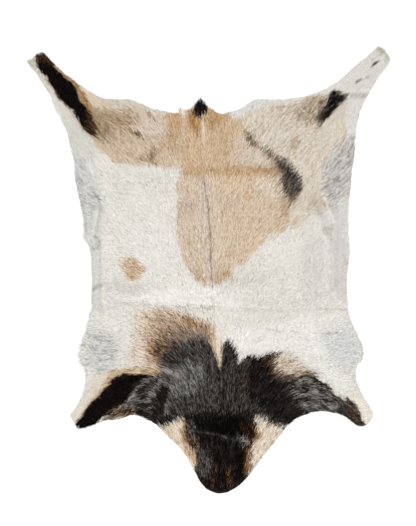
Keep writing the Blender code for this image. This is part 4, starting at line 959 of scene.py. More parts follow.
@dataclass(frozen=True)
class CoatColours:
    """The coat's pattern: a milk-white ground under the markings, each hair of one tone."""

    ground: str = "#e7e4dd"
    ground_accent: str = "#d6d2ca"
    ground_share: float = 0.2
    lock_tone: float = 0.01
    hair_tone: float = 0.09
    cloud_tone: float = 0.02
    strand_tone: float = 0.02
    cloud: float = 26.0
    strand: float = 1.3
    strand_reach: int = 4
    long_strand: float = 1.1
    long_reach: int = 7
    combed_pick: float = 0.25
    sweep: float = 3.6  # soft streaks that run on over many hairs
    sweep_reach: int = 9
    sweep_tone: float = 0.012
    own_pick: float = 1.8  # how far a hair's tone is its own choice rather than its strand's
    blend: float = 0.3
    accent_blend: float = 0.15
    calm: float = 0.1  # how uneven the tone of white hair is, and how much more that of black hair
    vivid: float = 2.2
    # whether a hair takes a patch's tone hangs on its strand and on its lock, in these two shares
    strand_say: float = 0.7
    lock_say: float = 0.3
    layer_shift: float = 0.37  # sets that choice apart from one patch to the next
    # a ragged edge's bumps are edge_wave times as long as it wanders, and edge_wave_more on top
    edge_wave: float = 3
    edge_wave_more: float = 2
    lock_scramble: float = 91.7  # makes a lock's shade another number than its choice of patch
    lock_spread: float = 1.7
    shade_limits: tuple[float, float] = (0.4, 1.7)
    tone_limits: tuple[float, float] = (0.001, 0.94)
    seed: int = 40  # the seeds after it are taken too, one for each unevenness

    def at(self, places: Rows, lock_chance: Rows, ways: Rows) -> Rows:
        """Picks the colour of hairs.

        Args:
            places: Where each hair shows, as rows of x and y.
            lock_chance: A number from 0 to 1 that the hairs of a lock share.
            ways: The way each hair lies, as rows of unit vectors.

        Returns:
            Linear red, green and blue as rows.
        """
        rng = np.random.default_rng(self.seed)
        count = len(places)
        combed = np.zeros(count)
        for place in COMBED:
            depth = depth_inside(places, read_points(place.outline))
            combed = np.maximum(combed, soft_step(0.5 + depth / place.soft))
        strands = drawn_out(places, ways, self.strand, self.strand_reach, self.seed + 3) * (1 - combed)
        strands += drawn_out(places, ways, self.long_strand, self.long_reach, self.seed + 5) * combed
        own_pick = self.own_pick + (self.combed_pick - self.own_pick) * combed
        own = rng.standard_normal((2, count)) * own_pick
        fair = np.hypot(1, own_pick)
        accent_rank = normal_share((strands + own[0]) / fair)
        taken = drawn_out(places, ways, self.strand, self.strand_reach, self.seed + 4)
        taken_rank = normal_share((taken + own[1]) / fair)
        colours = self.mixed(self.ground, self.ground_accent, self.ground_share, accent_rank)
        for number, layer in enumerate((*MARKINGS, *STROKES)):
            is_line = isinstance(layer, Stroke)
            line = read_points(layer.line if is_line else layer.outline)
            near = close_to(places, line, layer.soft + (layer.girth if is_line else layer.ragged))
            spots = places[near]
            if is_line:
                depth = layer.girth - distance_to_line(spots, line)
            else:
                wavelength = self.edge_wave * layer.ragged + self.edge_wave_more
                depth = depth_inside(spots, line) + layer.ragged * ripple(spots, wavelength, number)
            reach = soft_step(0.5 + depth / layer.soft) * layer.cover
            say = self.strand_say * taken_rank[near] + self.lock_say * lock_chance[near]
            rank = (say + number * self.layer_shift) % 1
            taken = np.clip((reach * (1 + self.blend) - rank) / self.blend, 0, 1)[:, None]
            picked = self.mixed(layer.tone, layer.accent, layer.share, accent_rank[near])
            colours[near] = colours[near] * (1 - taken) + picked * taken
        uneven = self.lock_tone * (2 * ((lock_chance * self.lock_scramble) % 1) - 1) * self.lock_spread
        uneven += self.hair_tone * rng.standard_normal(count) + self.strand_tone * strands
        shade = 1 + self.unevenness(colours) * uneven
        shade += self.cloud_tone * ripple(places, self.cloud, self.seed + 1)
        shade += self.sweep_tone * drawn_out(places, ways, self.sweep, self.sweep_reach, self.seed + 6)
        return np.clip(colours * np.clip(shade, *self.shade_limits)[:, None], *self.tone_limits)

    def fold_light(self, places: Rows) -> Rows:
        """Tells how much painted light or painted shade folds leave at places, as a factor, out to three
        widths from each.
        """
        light = np.ones(len(places))
        for fold in FOLD_SHADES:
            line = read_points(fold.line)
            near = close_to(places, line, 3 * fold.width)
            away = distance_to_line(places[near], line)
            light[near] *= 1 + fold.light * np.exp(-((away / fold.width) ** 2))
        return light

    def unevenness(self, colours: Rows) -> Rows:
        """Tells how uneven the tone of hairs is, which grows as they get darker."""
        return self.calm + self.vivid * (1 - np.sqrt(colours.mean(axis=1)))

    def mixed(self, tone: str, accent: str, share: float, rank: Rows) -> Rows:
        """Mixes two tones so that share of the hairs are in the accent.

        Args:
            tone: The main colour as "#rrggbb".
            accent: The accent colour.
            share: The accent's share.
            rank: Each hair's place from 0 to 1.

        Returns:
            Linear red, green and blue as rows.
        """
        amount = np.clip((rank - 1 + share) / self.accent_blend + 0.5, 0, 1)[:, None]
        return np.array(linear(tone)) * (1 - amount) + np.array(linear(accent)) * amount


@dataclass(frozen=True)
class HairFinish:
    """Goat guard hair: fine, straight and dry, which looks nearly matt, with a faint gleam at most."""

    name: str = "goat guard hair"
    roughness: float = 0.5
    specular: float = 0.01
    lift: float = 1.3  # how far light is taken as on the whole coat rather than on one hair's round side
    # hair scales are under 0.01 mm; drawn as 0.6 mm flecks so that they show at all
    fleck: float = 0.6
    fleck_span: tuple[float, float] = (0.3, 0.7)
    fleck_light: tuple[float, float] = (0.88, 1.1)
    gleam_less: float = 0.08
    gleam_more: float = 0.1

    def material(self) -> bpy.types.Material:
        """Builds the material, which takes each hair's colour from the attribute "coat"."""
        made, tree = bare_material(self.name)
        coat = add_node(tree, "ShaderNodeAttribute", {"attribute_name": "coat"}, {})
        fleck = noise(tree, self.fleck, Detail=2.0)
        light = ranged(tree, fleck, self.fleck_span, self.fleck_light)
        colour = add_node(
            tree, "ShaderNodeVectorMath", {"operation": "SCALE"}, {0: coat.outputs["Color"], "Scale": light}
        )
        roughness = (self.roughness - self.gleam_less, self.roughness + self.gleam_more)
        gleam = ranged(tree, fleck, self.fleck_span, roughness)
        facing = add_node(tree, "ShaderNodeNewGeometry", {}, {})
        lifted = add_node(
            tree, "ShaderNodeVectorMath", {"operation": "ADD"},
            {0: facing.outputs["Normal"], 1: (0.0, 0.0, self.lift)},
        )
        normal = add_node(tree, "ShaderNodeVectorMath", {"operation": "NORMALIZE"}, {0: lifted.outputs[0]})
        shader = add_node(
            tree,
            "ShaderNodeBsdfPrincipled",
            {},
            {
                "Base Color": colour.outputs[0],
                "Roughness": gleam,
                "Specular IOR Level": self.specular,
                "Normal": normal.outputs[0],
            },
        )
        add_node(tree, "ShaderNodeOutputMaterial", {}, {"Surface": shader.outputs[0]})
        return made


@dataclass(frozen=True)
class SkinFinish:
    """One side of tanned goat leather, a fine-grained skin that looks matt and slightly cloudy.

    grain, cloud and bump_depth are in millimetres, the first two between one bump and the next. by_coat
    tints the colour by the attribute "coat", as on the hair side, where the skin has the tint of the hair
    that grows from it.
    """

    name: str
    light: str
    dark: str
    grain: float
    bump: float
    roughness: float
    by_coat: bool = False
    cloud: float = 28.0
    bump_depth: float = 0.3
    roughness_spread: float = 0.1
    specular: float = 0.3

    def material(self) -> bpy.types.Material:
        """Builds the material."""
        made, tree = bare_material(self.name)
        cloud = noise(tree, self.cloud, Detail=4.0)
        grain = noise(tree, self.grain, Detail=3.0, Roughness=0.6)
        tones = {"Factor": cloud, "A": (*linear(self.dark), 1), "B": (*linear(self.light), 1)}
        colour = add_node(tree, "ShaderNodeMix", {"data_type": "RGBA"}, tones).outputs["Result"]
        if self.by_coat:
            coat = add_node(tree, "ShaderNodeAttribute", {"attribute_name": "coat"}, {})
            tones = {"Factor": 1.0, "A": coat.outputs["Color"], "B": colour}
            tinted = {"data_type": "RGBA", "blend_type": "MULTIPLY"}
            colour = add_node(tree, "ShaderNodeMix", tinted, tones).outputs["Result"]
        nap = {"Strength": self.bump, "Distance": self.bump_depth * MM, "Height": grain}
        bump = add_node(tree, "ShaderNodeBump", {}, nap)
        span = (self.roughness - self.roughness_spread, self.roughness + self.roughness_spread)
        shader = add_node(
            tree,
            "ShaderNodeBsdfPrincipled",
            {},
            {
                "Base Color": colour,
                "Roughness": ranged(tree, grain, (0.0, 1.0), span),
                "Normal": bump.outputs[0],
                "Specular IOR Level": self.specular,
            },
        )
        add_node(tree, "ShaderNodeOutputMaterial", {}, {"Surface": shader.outputs[0]})
        return made


@dataclass
class Leather:
    """The tanned skin itself, one sheet with a hair side, a flesh side and a cut edge."""

    form: HideForm
    name: str = "hide_leather"
    thickness: float = 1.3
    thickness_spread: float = 0.15
    thickness_wave: float = 40
    step: float = 5.0
    rim_step: float = 4.0
    rim_inset: float = 1.4
    rim_room: float = 2.6
    weld: float = 1e-4
    jitter: float = 0.9
    smooth_rounds: int = 6
    gap_shade: float = 0.2  # how much darker the skin looks between dark hairs
    tint_wave: float = 9
    seed: int = 7
    points: Rows = field(init=False)
    triangles: Rows = field(init=False)

    def __post_init__(self) -> None:
        """Lays the sheet's points out in plan, joins them and gives them the flesh side's heights."""
        loop = resampled(self.form.outline[:, :2], self.rim_step)
        outward = np.roll(loop, -1, axis=0) - np.roll(loop, 1, axis=0)
        outward = np.stack([outward[:, 1], -outward[:, 0]], axis=1)
        outward /= np.linalg.norm(outward, axis=1)[:, None]
        probe = depth_inside(loop + outward * self.rim_inset, self.form.outline[:, :2])
        inward = outward * np.where(probe > 0, 1, -1)[:, None]
        rim = loop + inward * self.rim_inset
        plan = np.vstack([rim, self.inner_places(rim)])
        edges = [(i, (i + 1) % len(rim)) for i in range(len(rim))]
        result = delaunay_2d_cdt([Vector(p) for p in plan], edges, [], TRIANGLES_INSIDE, self.weld)
        places = np.array([tuple(p) for p in result[0]])
        triangles = np.array([face for face in result[2] if len(face) == 3])
        a, b, c = (places[triangles[:, k]] for k in range(3))
        turn = (b[:, 0] - a[:, 0]) * (c[:, 1] - a[:, 1]) - (b[:, 1] - a[:, 1]) * (c[:, 0] - a[:, 0])
        triangles[turn < 0] = triangles[turn < 0][:, ::-1]
        heights = self.form.heights(places)
        self.triangles = triangles
        self.points = np.column_stack([places, self.smoothed(heights) + self.relief(places)])

    def relief(self, places: Rows) -> Rows:
        """Raises the skin along folds and at the teats.

        Args:
            places: Points as rows of x and y.

        Returns:
            How far each place stands up.
        """
        raised = np.zeros(len(places))
        for crease in CREASES:
            if crease.rise > 0:
                away = distance_to_line(places, read_points(crease.line))
                raised = np.maximum(raised, crease.rise * np.exp(-((away / crease.width) ** 2)))
        return raised

    def inner_places(self, rim: Rows) -> Rows:
        """Scatters points over a three-way lattice inside the rim.

        Args:
            rim: The rim's points as rows of x and y.

        Returns:
            The points inside, as rows of x and y.
        """
        low, high = rim.min(0), rim.max(0)
        rise = self.step * math.sqrt(3) / 2
        rows = []
        for row, y in enumerate(np.arange(low[1], high[1], rise)):
            xs = np.arange(low[0] + (row % 2) * self.step / 2, high[0], self.step)
            rows.append(np.column_stack([xs, np.full(len(xs), y)]))
        places = np.vstack(rows)
        places += np.random.default_rng(self.seed).uniform(-self.jitter, self.jitter, places.shape)
        return places[depth_inside(places, rim) > self.rim_room]

    def smoothed(self, heights: Rows) -> Rows:
        """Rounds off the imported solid's facets.

        Args:
            heights: One height for each point.

        Returns:
            The heights, each eased towards its neighbours' mean a few times.
        """
        pairs = np.vstack([self.triangles[:, [0, 1]], self.triangles[:, [1, 2]], self.triangles[:, [2, 0]]])
        pairs = np.unique(np.sort(pairs, axis=1), axis=0)
        count = np.bincount(pairs.ravel(), minlength=len(heights))
        for _ in range(self.smooth_rounds):
            total = np.bincount(pairs[:, 0], heights[pairs[:, 1]], len(heights))
            total += np.bincount(pairs[:, 1], heights[pairs[:, 0]], len(heights))
            heights = 0.5 * heights + 0.5 * total / np.maximum(count, 1)
        return np.maximum(heights, 0)

    def hair_side(self) -> Rows:
        """Gives the points of the upper side, where the hair is rooted, in millimetres."""
        uneven = ripple(self.points[:, :2], self.thickness_wave, self.seed)
        thickness = self.thickness + self.thickness_spread * uneven
        return self.points + np.column_stack([np.zeros((len(thickness), 2)), thickness])

    def build(self, colours: CoatColours) -> bpy.types.Object:
        """Makes the closed sheet and dresses its three kinds of face.

        Args:
            colours: The coat's pattern, which tints the skin under the hair.

        Returns:
            The finished object.
        """
        count = len(self.points)
        # a run that no triangle goes back along is on the rim
        runs = dict.fromkeys(run for t in self.triangles.tolist() for run in zip(t, t[1:] + t[:1]))
        edge_faces = [(b, a, a + count, b + count) for a, b in runs if (b, a) not in runs]
        faces = self.triangles[:, ::-1].tolist() + (self.triangles + count).tolist() + edge_faces
        mesh = bpy.data.meshes.new(self.name)
        mesh.from_pydata((np.vstack([self.points, self.hair_side()]) * MM).tolist(), [], faces)
        sides = len(self.triangles)
        slots = np.repeat([1, 0, 2], [sides, sides, len(edge_faces)])
        mesh.polygons.foreach_set("material_index", slots.astype(np.int32))
        mesh.polygons.foreach_set("use_smooth", slots < 2)
        for finish in LEATHER_FINISHES:
            mesh.materials.append(finish.material())
        plan = self.points[:, :2]
        chance = ripple(plan, self.tint_wave, self.seed + 1) * 0.5 + 0.5
        tint = colours.at(plan, chance, np.zeros_like(plan))
        tint *= np.clip(1 - self.gap_shade * colours.unevenness(tint), 0, 1)[:, None]
        # the folds' painted light and painted shade tint the skin as well
        tint *= colours.fold_light(plan)[:, None]
        coat = mesh.color_attributes.new("coat", "FLOAT_COLOR", "POINT")
        tints = np.ones((2 * count, 4), np.float32)
        tints[:, :3] = np.vstack([tint, tint])
        coat.data.foreach_set("color", tints.ravel())
        mesh.update()
        hide = bpy.data.objects.new(self.name, mesh)
        bpy.context.scene.collection.objects.link(hide)
        LOG.info("%s: %d faces", self.name, len(faces))
        return hide


# the skin shows between the hairs as a dull, slightly darker tint of the coat
HAIR_SIDE = SkinFinish("goat skin under the coat", "#ffffff", "#f4f1ee", 1.2, 0.3, 0.75, by_coat=True)
# the flesh side is buffed suede: a pale biscuit nap with soft clouds
FLESH_SIDE = SkinFinish("buffed goat suede", "#d8cdbd", "#c4b7a5", 0.9, 0.6, 0.85)
# the knife leaves the edge slightly darker and denser than the suede
CUT_EDGE = SkinFinish("cut goat leather edge", "#c9bda9", "#a99c88", 0.7, 0.4, 0.8)
LEATHER_FINISHES = (HAIR_SIDE, FLESH_SIDE, CUT_EDGE)


@dataclass
class Lock:
    """A small lock of straight hairs, the shape that the coat repeats."""

    name: str
    seed: int
    hairs: int = 3
    length: float = 12.0
    width: float = 0.85
    root_spread: tuple[float, float] = (1.3, 2.0)
    tip_spread: float = 0.8
    middle_share: float = 0.4
    middle_height: float = 1.2
    tip_height: float = 1.6
    root_depth: float = 0.3
    bow: float = 0.5
    length_share: tuple[float, float] = (0.85, 1.12)
    rise_share: tuple[float, float] = (0.75, 1.25)
    width_share: tuple[float, float] = (0.8, 1.2)

    def build(self) -> bpy.types.Object:
        """Makes the lock along +Y, its root at the origin, each hair a slim closed sliver that arches a bit.

        Returns:
            An object that is in no scene.
        """
        rng = np.random.default_rng(self.seed)
        shape = bmesh.new()
        for _ in range(self.hairs):
            root_x, tip_x = rng.uniform(-1, 1) * self.root_spread[0], rng.uniform(-1, 1) * self.tip_spread
            root_y = rng.uniform(-1, 1) * self.root_spread[1]
            length = self.length * rng.uniform(*self.length_share)
            bow, rise = rng.uniform(-self.bow, self.bow), rng.uniform(*self.rise_share)
            width = self.width * rng.uniform(*self.width_share)
            middle_x = root_x + (tip_x - root_x) * self.middle_share + bow
            middle_y, middle_z = root_y + length * self.middle_share, self.middle_height * rise
            places = (
                (root_x, root_y, -self.root_depth),
                (middle_x - width / 2, middle_y, middle_z),
                (middle_x + width / 2, middle_y, middle_z),
                (tip_x, root_y + length, self.tip_height * rise),
            )
            root, left, right, tip = (shape.verts.new(Vector(p) * MM) for p in places)
            for corners in ((root, right, left), (left, right, tip), (root, tip, right), (root, left, tip)):
                shape.faces.new(corners)
        bmesh.ops.recalc_face_normals(shape, faces=shape.faces)
        mesh = bpy.data.meshes.new(self.name)
        shape.to_mesh(mesh)
        shape.free()
        return bpy.data.objects.new(self.name, mesh)


class Draw(Enum):
    """The seeds of what is drawn anew for each lock."""

    TILT = 3
    GIRTH = 4
    STRETCH = 5
    RISE = 6
    CHANCE = 8


@dataclass
class Coat:
    """The whole coat: locks laid over the hair side by Geometry Nodes, then trimmed and coloured."""

    leather: Leather
    colours: CoatColours
    lock_kinds: int = 4
    lock_seed: int = 20
    locks_per_square_metre: float = 900000.0
    plain_thickness: float = 0.8
    closest: float = 1.45
    turn: float = math.radians(9)
    # how locks differ: their tilt in radians, then their width, length and height as shares
    tilt: tuple[float, float] = (-0.05, 0.06)
    girth: tuple[float, float] = (0.8, 1.2)
    stretch: tuple[float, float] = (0.75, 1.2)
    rise: tuple[float, float] = (0.8, 1.2)
    lay_blend: float = 40.0
    far_pull: float = 1e-6  # lets the nearest headings decide where all are far away
    wander: float = 8.0
    wander_length: float = 34.0
    wander_seed: int = 61
    rim_overhang: float = 1.2
    rim_unevenness: float = 0.7
    rim_wave: float = 7
    rim_seed: int = 71
    rim_zone: float = 24.0
    whisker_seed: int = 72
    whisker_rarity: float = 1.5  # above 1, long whiskers are rarer than short ones
    # painted shade at each hair's root, where the lower coat lies in shade, and painted light at its tip
    root_shade: float = 0.13  # a hair is a little darker at its root and lighter at its tip
    darkest_root: float = 0.3
    tip_light: float = 0.03
    crease_gap: float = 1.4
    crease_reach: float = 1.1  # a hair stops at a crease that lies this close, in hair lengths
    crease_seed: int = 73
    shortest: float = 0.22
    off_floor: float = 0.2
    map_margin: float = 0.005
    # a hair takes its tone from somewhere along itself, which feathers the edges of patches
    show_span: tuple[float, float] = (-0.05, 1.15)
    show_stray: float = 0.8
    show_seed: int = 74
    shapes: bpy.types.Collection = field(init=False)
    tree: Tree = field(init=False)
    finish: bpy.types.Material = field(init=False)

    def __post_init__(self) -> None:
        """Makes the lock shapes, the node tree and the hair's material."""
        self.shapes = bpy.data.collections.new("lock shapes")
        for number in range(self.lock_kinds):
            self.shapes.objects.link(Lock(f"lock_{number}", self.lock_seed + number).build())
        self.finish = HairFinish().material()
        self.tree = self.lay_locks()

    def lay_locks(self) -> Tree:
        """Builds the tree that lays locks along the skin's "lay", as thick and long as it says.

        Returns:
            The tree, with named inputs.
        """
        tree = bpy.data.node_groups.new("lay hair locks", "GeometryNodeTree")
        face = tree.interface
        inputs = {
            "Geometry": "Geometry",
            "Lock Shapes": "Collection",
            "Locks Tried": "Float",
            "Closest": "Float",
            "Turn": "Float",
            "Hair": "Material",
            "Seed": "Int",
        }
        for name, kind in inputs.items():
            face.new_socket(name, in_out="INPUT", socket_type=f"NodeSocket{kind}")
        face.new_socket("Geometry", in_out="OUTPUT", socket_type="NodeSocketGeometry")
        given = add_node(tree, "NodeGroupInput", {}, {}).outputs
        named = {}
        for key, kind in (("thick", "FLOAT"), ("long", "FLOAT"), ("lay", "FLOAT_VECTOR")):
            read = add_node(tree, "GeometryNodeInputNamedAttribute", {"data_type": kind}, {"Name": key})
            named[key] = read.outputs[0]
        spread = add_node(
            tree,
            "GeometryNodeDistributePointsOnFaces",
            {"distribute_method": "POISSON"},
            {
                "Mesh": given["Geometry"],
                "Distance Min": given["Closest"],
                "Density Max": given["Locks Tried"],
                "Density Factor": named["thick"],
                "Seed": given["Seed"],
            },
        )
        turned = drawn(tree, (product(tree, given["Turn"], -1.0), given["Turn"]), given["Seed"])
        tilted = drawn(tree, self.tilt, Draw.TILT.value)
        angles = add_node(tree, "ShaderNodeCombineXYZ", {}, {"X": tilted, "Z": turned})
        swing = add_node(tree, "FunctionNodeEulerToRotation", {}, {0: angles.outputs[0]})
        along = add_node(
            tree,
            "FunctionNodeAxesToRotation",
            {"primary_axis": "Z", "secondary_axis": "Y"},
            {0: spread.outputs["Normal"], 1: named["lay"]},
        )
        facing = add_node(
            tree, "FunctionNodeRotateRotation", {"rotation_space": "LOCAL"},
            {0: along.outputs[0], 1: swing.outputs[0]},
        )
        girth = drawn(tree, self.girth, Draw.GIRTH.value)
        length = product(tree, drawn(tree, self.stretch, Draw.STRETCH.value), named["long"])
        height = product(tree, drawn(tree, self.rise, Draw.RISE.value), named["long"])
        scale = add_node(tree, "ShaderNodeCombineXYZ", {}, {"X": girth, "Y": length, "Z": height})
        shapes = add_node(
            tree,
            "GeometryNodeCollectionInfo",
            {},
            {"Collection": given["Lock Shapes"], "Separate Children": True, "Reset Children": True},
        )
        placed = add_node(
            tree,
            "GeometryNodeInstanceOnPoints",
            {},
            {
                "Points": spread.outputs["Points"],
                "Instance": shapes.outputs[0],
                "Pick Instance": True,
                "Rotation": facing.outputs[0],
                "Scale": scale.outputs[0],
            },
        )
        chance = drawn(tree, (0.0, 1.0), Draw.CHANCE.value)
        stored = add_node(
            tree,
            "GeometryNodeStoreNamedAttribute",
            {"data_type": "FLOAT", "domain": "INSTANCE"},
            {"Geometry": placed.outputs[0], "Name": "chance", "Value": chance},
        )
        real = add_node(tree, "GeometryNodeRealizeInstances", {}, {"Geometry": stored.outputs[0]})
        dressed = add_node(
            tree, "GeometryNodeSetMaterial", {}, {"Geometry": real.outputs[0], "Material": given["Hair"]}
        )
        add_node(tree, "NodeGroupOutput", {}, {0: dressed.outputs[0]})
        return tree

    def lay_at(self, places: Rows) -> Rows:
        """Finds which way the hair lies.

        Args:
            places: Points as rows of x and y.

        Returns:
            Unit vectors as rows.
        """
        known = np.array(HAIR_LAY, float)
        headings = np.radians(known[:, 2])
        ways = np.stack([np.cos(headings), np.sin(headings)], axis=1)
        reach = np.linalg.norm(places[:, None, :] - known[None, :, :2], axis=2)
        weights = np.exp(-((reach / self.lay_blend) ** 2)) + self.far_pull / (1 + reach**2)
        way = weights @ ways
        turn = np.radians(self.wander * ripple(places, self.wander_length, self.wander_seed))
        angle = np.arctan2(way[:, 1], way[:, 0]) + turn
        return np.stack([np.cos(angle), np.sin(angle)], axis=1)

    def scalp(self, part: Part, ceiling: float) -> bpy.types.Object:
        """Makes the stretch of skin that one piece of hair grows from.

        Args:
            part: Which piece of hair.
            ceiling: The highest y of the stretch.

        Returns:
            A helper object with the hair's lay, length and thickness on its points.
        """
        points, triangles = self.leather.hair_side(), self.leather.triangles
        middle_y = points[triangles, 1].mean(axis=1)
        chosen = triangles[(middle_y >= part.lowest) & (middle_y < ceiling)]
        kept, renumbered = np.unique(chosen, return_inverse=True)
        places = points[kept]
        mesh = bpy.data.meshes.new("scalp")
        mesh.from_pydata((places * MM).tolist(), [], renumbered.reshape(-1, 3).tolist())
        plan = places[:, :2]
        long, thick = np.ones(len(plan)), np.full(len(plan), self.plain_thickness)
        for growth in GROWTHS:
            share = soft_step(0.5 + depth_inside(plan, read_points(growth.outline)) / growth.soft)
            long *= 1 + share * (growth.length - 1)
            thick *= 1 + share * (growth.thickness - 1)
        lay = np.column_stack([self.lay_at(plan), np.zeros(len(plan))])
        mesh.attributes.new("long", "FLOAT", "POINT").data.foreach_set("value", long.astype(np.float32))
        mesh.attributes.new("thick", "FLOAT", "POINT").data.foreach_set("value", thick.astype(np.float32))
        ways = mesh.attributes.new("lay", "FLOAT_VECTOR", "POINT")
        ways.data.foreach_set("vector", lay.astype(np.float32).ravel())
        scalp = bpy.data.objects.new("scalp", mesh)
        bpy.context.scene.collection.objects.link(scalp)
        return scalp

    def build(self, part: Part, ceiling: float) -> bpy.types.Object:
        """Grows one piece of hair and makes it a plain mesh.

        Args:
            part: Which piece of hair.
            ceiling: The highest y of the stretch that it grows from.

        Returns:
            The finished object.
        """
        scalp = self.scalp(part, ceiling)
        grow = scalp.modifiers.new("lay hair locks", "NODES")
        grow.node_group = self.tree
        values = {
            "Lock Shapes": self.shapes,
            "Locks Tried": self.locks_per_square_metre,
            "Closest": self.closest * MM,
            "Turn": self.turn,
            "Hair": self.finish,
            "Seed": part.seed,
        }
        for item in self.tree.interface.items_tree:
            if item.in_out == "INPUT" and item.name in values:
                grow[item.identifier] = values[item.name]
        depsgraph = bpy.context.evaluated_depsgraph_get()
        grown = scalp.evaluated_get(depsgraph)
        mesh = bpy.data.meshes.new_from_object(grown, preserve_all_data_layers=True, depsgraph=depsgraph)
        old = scalp.data
        bpy.data.objects.remove(scalp)
        bpy.data.meshes.remove(old)
        mesh.name = part.piece
        self.groom(mesh)
        piece = bpy.data.objects.new(part.piece, mesh)
        bpy.context.scene.collection.objects.link(piece)
        count = len(mesh.vertices) // POINTS_PER_HAIR
        LOG.info("%s: %d hairs, %d faces", piece.name, count, len(mesh.polygons))
        return piece

    def groom(self, mesh: bpy.types.Mesh) -> None:
        """Trims the hairs at the rim and the creases, colours them and lays out their map.

        Args:
            mesh: The piece's mesh, four points to a hair.
        """
        count = len(mesh.vertices)
        flat = np.empty(count * 3)
        mesh.vertices.foreach_get("co", flat)
        hairs = flat.reshape(-1, POINTS_PER_HAIR, 3) / MM
        chance = np.empty(count)
        mesh.attributes["chance"].data.foreach_get("value", chance)
        chance = chance[::POINTS_PER_HAIR]
        share = np.minimum(self.rim_share(hairs), self.crease_share(hairs))
        root = hairs[:, :1]
        hairs = root + (hairs - root) * share[:, None, None]
        hairs[:, :, 2] = np.maximum(hairs[:, :, 2], self.off_floor)
        mesh.vertices.foreach_set("co", (hairs * MM).ravel())
        rng = np.random.default_rng(self.show_seed)
        along = rng.uniform(*self.show_span, len(hairs))[:, None]
        shown = hairs[:, ROOT, :2] * (1 - along) + hairs[:, TIP, :2] * along
        shown = shown + rng.normal(0, self.show_stray, (len(hairs), 2))
        tones = np.ones((len(hairs), POINTS_PER_HAIR, 4), np.float32)
        ways = hairs[:, TIP, :2] - hairs[:, ROOT, :2]
        ways /= np.maximum(np.linalg.norm(ways, axis=1), SHORT)[:, None]
        tones[:, :, :3] = self.colours.at(shown, chance, ways)[:, None, :]
        # painted shade at the roots and painted light at the tips, stronger on darker hair
        uneven = self.colours.unevenness(tones[:, ROOT, :3])[:, None]
        tones[:, ROOT, :3] *= np.maximum(1 - self.root_shade * uneven, self.darkest_root)
        tones[:, TIP, :3] *= 1 + self.tip_light * uneven
        # the folds' painted light and painted shade, at each point of each hair
        folded = self.colours.fold_light(hairs[:, :, :2].reshape(-1, 2))
        tones[:, :, :3] *= folded.reshape(-1, POINTS_PER_HAIR, 1)
        for layer in list(mesh.attributes):
            if layer.name in ("chance", "long", "thick", "lay", "id"):
                mesh.attributes.remove(layer)
        mesh.color_attributes.new("coat", "FLOAT_COLOR", "POINT").data.foreach_set("color", tones.ravel())
        self.map_by_plan(mesh, hairs)
        mesh.polygons.foreach_set("use_smooth", np.ones(len(mesh.polygons), bool))
        mesh.update()

    def rim_share(self, hairs: Rows) -> Rows:
        """Finds how much of each hair to keep so that it ends at the rim, or a little past it.

        Args:
            hairs: The hairs' points in millimetres.

        Returns:
            A share from 0 to 1 for each hair.
        """
        outline = self.leather.form.outline[:, :2]
        kept = np.ones(len(hairs))
        near = np.flatnonzero(depth_inside(hairs[:, ROOT, :2], outline) < self.rim_zone)
        roots, tips = hairs[near, ROOT, :2], hairs[near, TIP, :2]
        inner, outer = depth_inside(roots, outline), depth_inside(tips, outline)
        uneven = self.rim_unevenness * ripple(roots, self.rim_wave, self.rim_seed)
        allowed = self.rim_overhang * (1 + uneven)
        stray = np.random.default_rng(self.whisker_seed).random(len(roots)) ** self.whisker_rarity
        for whiskers in WHISKERS:
            # whole up to half of reach, a half at reach, none from one and a half times reach on
            close = soft_step(1.5 - distance_to_line(roots, read_points(whiskers.line)) / whiskers.reach)
            allowed = np.maximum(allowed, close * whiskers.overhang * stray)
        long = outer < -allowed
        shares = np.where(long, (np.maximum(inner, 0) + allowed) / np.maximum(inner - outer, SHORT), 1)
        kept[near] = np.clip(shares, self.shortest, 1)
        return kept

    def crease_share(self, hairs: Rows) -> Rows:
        """Finds how much of each hair to keep where it would cross a crease.

        Args:
            hairs: The hairs' points in millimetres.

        Returns:
            A share from 0 to 1 for each hair.
        """
        kept = np.ones(len(hairs))
        root, run = hairs[:, ROOT, :2], hairs[:, TIP, :2] - hairs[:, ROOT, :2]
        length = np.linalg.norm(run, axis=1)
        stops = np.random.default_rng(self.crease_seed).random(len(hairs))
        for crease in CREASES:
            line = read_points(crease.line)
            for start, end in zip(line[:-1], line[1:]):
                side = end - start
                cross = run[:, 0] * side[1] - run[:, 1] * side[0]
                cross = np.where(np.abs(cross) < TINY, TINY, cross)
                gap = start - root
                at_hair = (gap[:, 0] * side[1] - gap[:, 1] * side[0]) / cross
                at_line = (gap[:, 0] * run[:, 1] - gap[:, 1] * run[:, 0]) / cross
                met = (at_hair > 0) & (at_hair < self.crease_reach) & (stops < crease.bite)
                met &= (at_line >= 0) & (at_line <= 1)
                cut = np.maximum(at_hair - self.crease_gap / length, self.shortest)
                kept = np.where(met, np.minimum(kept, cut), kept)
        return kept

    def map_by_plan(self, mesh: bpy.types.Mesh, hairs: Rows) -> None:
        """Gives the piece a map named OFBake that is its plan.

        Args:
            mesh: The piece's mesh.
            hairs: The hairs' points in millimetres.
        """
        plan = hairs.reshape(-1, 3)[:, :2]
        low, high = plan.min(0), plan.max(0)
        spots = self.map_margin + (1 - 2 * self.map_margin) * (plan - low) / (high - low).max()
        corners = np.empty(len(mesh.loops), np.int32)
        mesh.loops.foreach_get("vertex_index", corners)
        mesh.uv_layers.new(name="OFBake").data.foreach_set("uv", spots[corners].astype(np.float32).ravel())


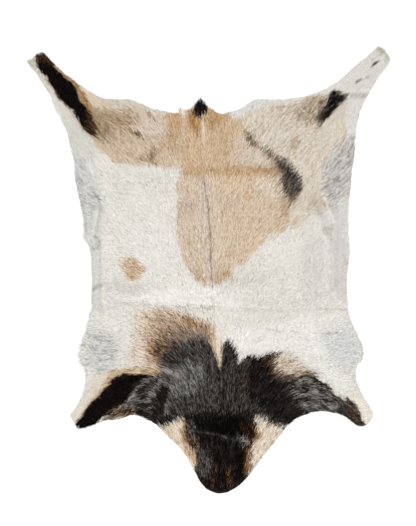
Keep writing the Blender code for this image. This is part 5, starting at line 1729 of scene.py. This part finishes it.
@dataclass
class Studio:
    """A plain pale floor, soft light from above and the camera straight over the hide."""

    floor_side: float = 8.0
    floor_tone: str = "#f4f4f3"
    floor_roughness: float = 0.9
    floor_specular: float = 0.1
    view_height: float = 1.052  # what the picture's long side takes in, in metres
    view_middle: tuple[float, float] = (-0.0003, 0.0138)
    lens: float = 100.0
    sensor: float = 36.0
    key_from: tuple[float, float, float] = (-0.08, 0.2, 1.0)
    key_spread: float = 0.7  # the soft box's width as an angle in radians
    key_strength: float = 1.9
    sky: float = 0.79

    def build(self) -> None:
        """Makes the floor, the light and the camera."""
        scene = bpy.context.scene
        half = self.floor_side / 2
        mesh = bpy.data.meshes.new("floor")
        corners = [(-half, -half, 0), (half, -half, 0), (half, half, 0), (-half, half, 0)]
        mesh.from_pydata(corners, [], [(0, 1, 2, 3)])
        mesh.materials.append(self.floor_finish())
        floor = bpy.data.objects.new("floor", mesh)
        scene.collection.objects.link(floor)
        world = bpy.data.worlds.new("studio")
        world.use_nodes = True
        light = world.node_tree.nodes["Background"].inputs
        light["Color"].default_value = (1, 1, 1, 1)
        light["Strength"].default_value = self.sky
        scene.world = world
        lamp = bpy.data.lights.new("far soft box", "SUN")
        lamp.angle, lamp.energy = self.key_spread, self.key_strength
        key = bpy.data.objects.new("far soft box", lamp)
        key.rotation_euler = (-Vector(self.key_from)).to_track_quat("-Z", "Y").to_euler()
        scene.collection.objects.link(key)
        camera_data = bpy.data.cameras.new("overhead camera")
        camera_data.sensor_fit, camera_data.sensor_height = "VERTICAL", self.sensor
        camera_data.lens = self.lens
        camera = bpy.data.objects.new("overhead camera", camera_data)
        camera.location = (*self.view_middle, self.view_height * self.lens / self.sensor)
        scene.collection.objects.link(camera)
        scene.camera = camera
        scene.view_settings.view_transform = "Standard"
        LOG.info("studio: floor, soft box and camera")

    def floor_finish(self) -> bpy.types.Material:
        """Builds the floor's matt paper."""
        made = bpy.data.materials.new("matt paper")
        made.use_nodes = True
        shader = made.node_tree.nodes["Principled BSDF"]
        shader.inputs["Base Color"].default_value = (*linear(self.floor_tone), 1)
        shader.inputs["Roughness"].default_value = self.floor_roughness
        shader.inputs["Specular IOR Level"].default_value = self.floor_specular
        return made


def main() -> None:
    """Builds the hide, its coat and the studio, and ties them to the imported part."""
    logging.basicConfig(level=logging.INFO, format="%(name)s: %(message)s")
    colours = CoatColours()
    leather = Leather(HideForm())
    hide = leather.build(colours)
    coat = Coat(leather, colours)
    hairs, ceiling = [], math.inf
    for part in Part:
        hairs.append(coat.build(part, ceiling))
        ceiling = part.lowest
    for piece in (hide, *hairs):
        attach(piece, BODY)
        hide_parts(NODE)
    Studio().build()


if __name__ == "__main__":
    main()
